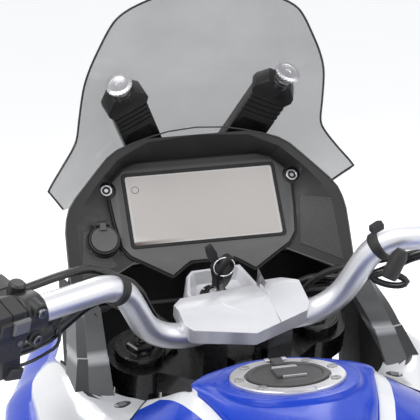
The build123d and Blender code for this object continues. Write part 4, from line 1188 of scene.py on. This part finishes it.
sleeve(fittings, [near_bar(-1, 104, -34, 2), near_bar(-1, 88, -26, 0), near_bar(-1, 78, -14, 2)], 0.0062, 14)
sleeve(fittings, [near_bar(-1, 96, -24, -6), near_bar(-1, 118, -30, -8)], 0.0085, 18)
finished("cable_boots", fittings, M["rubber"], "steering")
loop = smooth_line([(0.1452, 0.505, 0.1965), (0.1584, 0.500, 0.1889), (0.1731, 0.492, 0.1875), (0.1801, 0.488, 0.1922),
                    (0.1712, 0.492, 0.1990), (0.1588, 0.500, 0.2018)], 6, True)
bead("cable_loop", [loop], 0.0038, M["sleeve"], "steering", 0.004, True)


# Dash: plate with its window, gasket, screws, glass, dotted panels and fine edges
PLATE = mirrored([(0, 60), (74.2, 60), (90, 54.6), (106, 39), (110.6, 21), (108.6, -10), (104.6, -43.4),
                  (96, -56), (76, -68.4), (50, -85), (33, -72.8), (26, -68.8), (0, -68.8)])


def display_box(grow, radius=5):
    return soft_box(DISPLAY_SIZE[0] + grow, DISPLAY_SIZE[1] + grow, radius)


plate = carve(prism(DIAL, PLATE, -5, 0),
              [prism(DIAL, display_box(0.4), -6, 2)]
              + [prism(shift(DIAL, x, SCREW_Y), circle(11.5, 32), -6, 2) for x in (-SCREW_X, SCREW_X)], soft=0.0009)
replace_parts(finished("display_plate", plate, M["bezel"], "chassis"), "display_bezel")
gasket = [DIAL @ Vector((x, y, -3.6)) for x, y in inset(PLATE, -1.6)]
bead("plate_gasket", [gasket], 0.0017, M["cavity"], "chassis", 0.004, True)
frame_rim = form()
outer, inner = display_box(0.2), display_box(-7.6, 3.4)
skin(frame_rim, [outline_ring(DIAL, outer, -2), outline_ring(DIAL, outer, 0.5), outline_ring(DIAL, inner, 0.1),
                 outline_ring(DIAL, inner, -1.6)], cap_start=False, cap_end=False)
finished("display_frame", frame_rim, M["cavity"], "chassis")


def mapped(shape, matrix, width, height):
    """A flat map over a form, from nought to one across its width and height."""
    layer = shape.loops.layers.uv.new("flat")
    back = matrix.inverted()
    for face in shape.faces:
        for loop in face.loops:
            place = back @ loop.vert.co
            loop[layer].uv = (place.x / width + 0.5, place.y / height + 0.5)


glass = form()
skin(glass, [outline_ring(DIAL, display_box(-0.4), z) for z in (-2.2, -0.9)])
mapped(glass, DIAL, *DISPLAY_SIZE)
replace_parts(finished("display_pane", glass, M["glass"], "chassis"), "display_glass")
sensor = form()
skin(sensor, [outline_ring(shift(DIAL, -79.5, 26.5), circle(r, 32), z) for r, z in
              ((4.6, -1), (4.6, -0.75), (4.0, -0.75), (4.0, -1))], cap_start=False, cap_end=False)
finished("display_sensor", sensor, M["bezel"], "chassis")
washers, screws = form(), form()
for x in (-SCREW_X, SCREW_X):
    at = shift(DIAL, x, SCREW_Y)
    turned(washers, at, ((7.4, -5), (7.6, -1.2), (6.8, 0.2), (5.4, 0.2), (4.9, -0.6)), 36)
    turned(screws, at, ((4.8, -4), (4.8, -0.4), (4.2, 0), (2.8, 0), (2.6, -0.3, 6), (2.5, -2.4, 6)), 24)
    turned(screws, at, ((11, -5.6), (11, -3.4), (10, -3), (7.8, -3)), 36)
finished("screw_washers", washers, M["silver"], "chassis")
finished("screw_sockets", screws, M["arm"], "chassis")

dash_faces = tree_of_faces(nodes["dash_cowl"].data)


def on_dash(point):
    """Where a line through a point, along the rim's own direction, meets the dash."""
    hit, normal, index, distance = dash_faces.ray_cast(point + RIM_OUT * 0.03, -RIM_OUT)
    return (hit, normal) if hit and distance < 0.07 else (None, None)


def laid(name, corners, material, steps=(14, 24), lift=0.0006):
    """A thin panel laid on the dash, between four corners in millimetres."""
    shape = form()
    layer = shape.loops.layers.uv.new("flat")
    a, b, c, d = (Vector(p) * MM for p in corners)
    tops, lows = [], []
    for i in range(steps[0] + 1):
        s = i / steps[0]
        tops.append([])
        lows.append([])
        for j in range(steps[1] + 1):
            t = j / steps[1]
            point = (a.lerp(b, s)).lerp(d.lerp(c, s), t)
            hit = on_dash(point)[0] or point
            tops[-1].append(shape.verts.new(hit + RIM_OUT * lift))
            lows[-1].append(shape.verts.new(hit - RIM_OUT * 0.0004))
    width, height = (b - a).length, (d - a).length
    for i in range(steps[0]):
        for j in range(steps[1]):
            top = shape.faces.new((tops[i][j], tops[i + 1][j], tops[i + 1][j + 1], tops[i][j + 1]))
            for loop, (di, dj) in zip(top.loops, ((0, 0), (1, 0), (1, 1), (0, 1))):
                loop[layer].uv = ((i + di) / steps[0] * width, (j + dj) / steps[1] * height)
            shape.faces.new((lows[i][j], lows[i][j + 1], lows[i + 1][j + 1], lows[i + 1][j]))
    for row in (0, steps[0]):
        for j in range(steps[1]):
            shape.faces.new((tops[row][j], tops[row][j + 1], lows[row][j + 1], lows[row][j]))
    for column_ in (0, steps[1]):
        for i in range(steps[0]):
            shape.faces.new((tops[i][column_], tops[i + 1][column_], lows[i + 1][column_], lows[i][column_]))
    return finished(name, shape, material, "chassis", 30)


laid("dotted_panel_right", ((119, 704, 256), (154, 690, 252), (158, 660.5, 182), (110, 676, 203.6)), M["mesh"])
laid("dotted_panel_left", ((-150, 688, 238), (-138, 690, 238), (-112, 672, 197), (-157, 662, 188)), M["mesh"])


def traced(points, count=14):
    """Points of a line laid on the dash, with the way up at each."""
    line, ups = [], []
    for start, end in zip(points, points[1:]):
        for k in range(count):
            point = Vector(start).lerp(Vector(end), k / count) * MM
            hit, normal = on_dash(point)
            if hit:
                line.append(hit)
                ups.append(normal if normal.dot(RIM_OUT) > 0 else -normal)
    return line, ups


# Pale raised strips along the foot of the dotted panels and beside the plate's left edge: painted edge highlights.
edge_highlights = form()
for points in (((88, 674.7, 201), (120, 667, 186.5), (154, 657.3, 172)),
               ((-88, 674.7, 201), (-120, 667, 186.5), (-154, 657.3, 172)),
               ((-112, 706, 258), (-109, 690, 232), (-104, 676, 208))):
    ribbon(edge_highlights, *traced(points), 0.0018, 0.0009)
finished("panel_edging", edge_highlights, M["bezel"], "chassis", 60)
# Pale bead along the rim of the dash: a painted highlight on its edge.
RIM_HALF = [(171, -100), (170.5, -46), (170, -22), (167.5, -7), (163, 5.4), (154, 17.8), (140, 32.8), (126, 47.8),
            (111.2, 63.2), (98.4, 71.6), (79.6, 78.6), (57.8, 84.6), (34, 89.6)]
rim_line = [RIM @ Vector((x, y, 0.2)) for x, y in [(-x, y) for x, y in RIM_HALF] + [(0, 92)] + RIM_HALF[::-1]]
bead("rim_bead", [rim_line], 0.0009, M["bezel"], "chassis", 0.004)

# Socket: dark collar with a pale arc painted as a highlight on its rim, and the hinge of its cap
collar = form()
at = shift(DIAL, -126, -36, 0)
turned(collar, at, ((19.4, -4), (19.6, 0.8), (18.6, 2.2), (17, 2.2), (16.2, 1), (16, -1)), 44)
block(collar, at, ((-8, 17), (8, 17), (8, 26), (-8, 26)), -1, 3.4, 1)
finished("socket_collar", collar, M["arm"], "chassis")
arc = [at @ Vector((19.9 * math.cos(a), 19.9 * math.sin(a), 1.6)) for a in
       (math.radians(140 + 6 * k) for k in range(14))]
bead("socket_arc", [arc], 0.0008, M["bezel"], "chassis", 0.003)

# Black panel that closes the view between the side panels, ahead of the fork
INNER = plane((0, 745, 170), (0, -0.977, -0.215))
FLANK = Matrix(((0, 0, 0.001, 0), (0.001, 0, 0, 0), (0, 0.001, 0, 0), (0, 0, 0, 1)))
FLANK_WALL = ((590, -60), (590, 165), (563, 147), (527, 128), (497, 101), (480, 82), (480, -60))
closing = form()
points = mirrored([(0, 8), (160, 8), (168, -30), (168, -90), (162, -130), (140, -180), (96, -212), (0, -212)])
block(closing, INNER, points, -6, -2, 1)
for side in (-1, 1):
    join(closing, prism(FLANK, FLANK_WALL, side * 154.6 - 1.2, side * 154.6 + 1.2))
    for k, (y0, y1) in enumerate(((745, 690), (690, 640), (640, 590))):
        x0, x1 = 172 - k * 5, 167 - k * 5
        wall = [(side * x0, y0), (side * x1, y1), (side * (x1 + 2.5), y1), (side * (x0 + 2.5), y0)]
        join(closing, prism(WORLD, wall, -60, 176 - 18 * k))
finished("inner_closing", closing, M["cavity"], "chassis")

# Fork caps, screws of the side cowls
caps = form()
for side in (-1, 1):
    at = shift(STEER, side * 105, 36, 11)
    turned(caps, at, ((28, -4), (28, -0.6), (26.6, 0.6), (23, 0.6), (22, -0.4), (16.6, -0.4), (16.6, 2, 6),
                      (16.6, 6, 6), (14.2, 7.6, 6), (9, 7.6), (8.6, 6.6), (6, 6.6), (5.4, 9), (3, 9.4), (2.4, 8.4)), 48)
finished("fork_caps", caps, M["yoke"], "steering", 25)
recesses, heads = form(), form()
for side in (-1, 1):
    at = drop(tree_of_faces(cowl_skins[side].data), (side * 151, 452, 200))
    turned(recesses, at, ((9.4, -1), (9.4, 0.5), (8.6, 0.9), (7, 0.5), (6.4, 0.3)), 36)
    turned(heads, at, ((5.6, 0), (5.6, 1), (4.8, 1.6), (3, 1.6), (2.8, 1.2, 6), (2.7, 0.5, 6)), 24)
finished("cowl_screw_cups", recesses, M["arm"], "chassis")
finished("cowl_screws", heads, M["steel"], "chassis")

# Windscreen: dark cut edge
SCREEN_EDGE = [(0, 300), (54, 295), (88, 289), (104, 282), (113, 271), (122, 254), (134, 228), (141, 205), (144, 180),
               (146, 150), (148, 122), (155, 108), (170, 93), (184, 82), (183, 74), (163, 20)]


def on_screen(x, y):
    """A point in the middle of the bowed sheet."""
    reach = SCREEN_BOW - SCREEN_SHEET / 2
    return SCREEN @ Vector((x, y, SCREEN_BOW - math.sqrt(reach * reach - x * x)))


for side, name in SIDES:
    line = [on_screen(side * p.x, p.y) for p in smooth_line([(x, y, 0) for x, y in SCREEN_EDGE], 3)]
    bead("screen_edge_" + name, [line], 0.0013, M["edge"], "chassis", 0.003)

# Ochre bracket beside the tank's front arm
bracket = form()
at = plane((134, 458, 84), (0.1, -0.55, 0.83))
block(bracket, at, ((-16, -9), (12, -10), (13, 6), (6, 9), (-16, 7)), -4, 1.5, 1.2)
turned(bracket, shift(at, -7, -1, 1.2), ((6, 0), (6, 2), (5, 3), (3, 3)), 24)
finished("harness_bracket", bracket, M["ochre"], "chassis")


# Floor, backdrop, world and lamps
def seen_directly(t):
    """One for the camera, mirrors and clear plastic, nought for light that falls on the object."""
    path = t.new("LightPath").outputs
    first = t.maths("MAXIMUM", path["Is Camera Ray"], path["Is Glossy Ray"])
    return t.maths("MAXIMUM", first, path["Is Transmission Ray"])


def make_stage():
    mesh = bpy.data.meshes.new("studio_floor")
    shape = form()
    bmesh.ops.create_grid(shape, x_segments=8, y_segments=8, size=14)
    shape.to_mesh(mesh)
    shape.free()
    floor = bpy.data.objects.new("studio_floor", mesh)
    floor.location = (0, 0.4, cad_box[0][2] - 0.001)
    scene.collection.objects.link(floor)
    material, t = new_material("floor_pale")
    t.set({"Base Color": t.blend(t.uneven(1.5, 4, 0, 1), (0.86, 0.86, 0.86), (0.88, 0.88, 0.88)), "Roughness": 0.9,
           "Specular IOR Level": 0.0, "Emission Color": (1, 1, 1),
           "Emission Strength": t.times(seen_directly(t), 0.42)})
    mesh.materials.append(material)


def make_world():
    world = bpy.data.worlds.new("studio")
    scene.world = world
    world.use_nodes = True
    t = Shading(world.node_tree)
    t.nodes.clear()
    soft = t.new("Background", {"Color": (0.95, 0.97, 1.0, 1), "Strength": 0.62})
    plain = t.new("Background", {"Color": (1, 1, 1, 1), "Strength": 1.0})
    mix = t.new("MixShader")
    for number, feed in enumerate((seen_directly(t), soft.outputs[0], plain.outputs[0])):
        t.put(feed, mix.inputs[number])
    t.put(mix.outputs[0], t.new("OutputWorld").inputs["Surface"])


def lamp(name, place, target, size, power):
    data = bpy.data.lights.new(name, "AREA")
    data.shape = "RECTANGLE"
    data.size, data.size_y = size
    data.energy = power
    lamp_object = bpy.data.objects.new(name, data)
    direction = Vector(target) - Vector(place)
    lamp_object.rotation_euler = direction.to_track_quat("-Z", "Y").to_euler()
    lamp_object.location = place
    scene.collection.objects.link(lamp_object)


make_stage()
make_world()
lamp("key_lamp", (-1.6, -0.6, 2.4), (0, 0.5, 0.1), (1.6, 1.6), 40)
lamp("fill_lamp", (2.0, -0.8, 1.6), (0, 0.5, 0.1), (1.6, 1.6), 18)
lamp("back_lamp", (0.2, 2.6, 1.9), (0, 0.6, 0.2), (1.8, 1.0), 22)
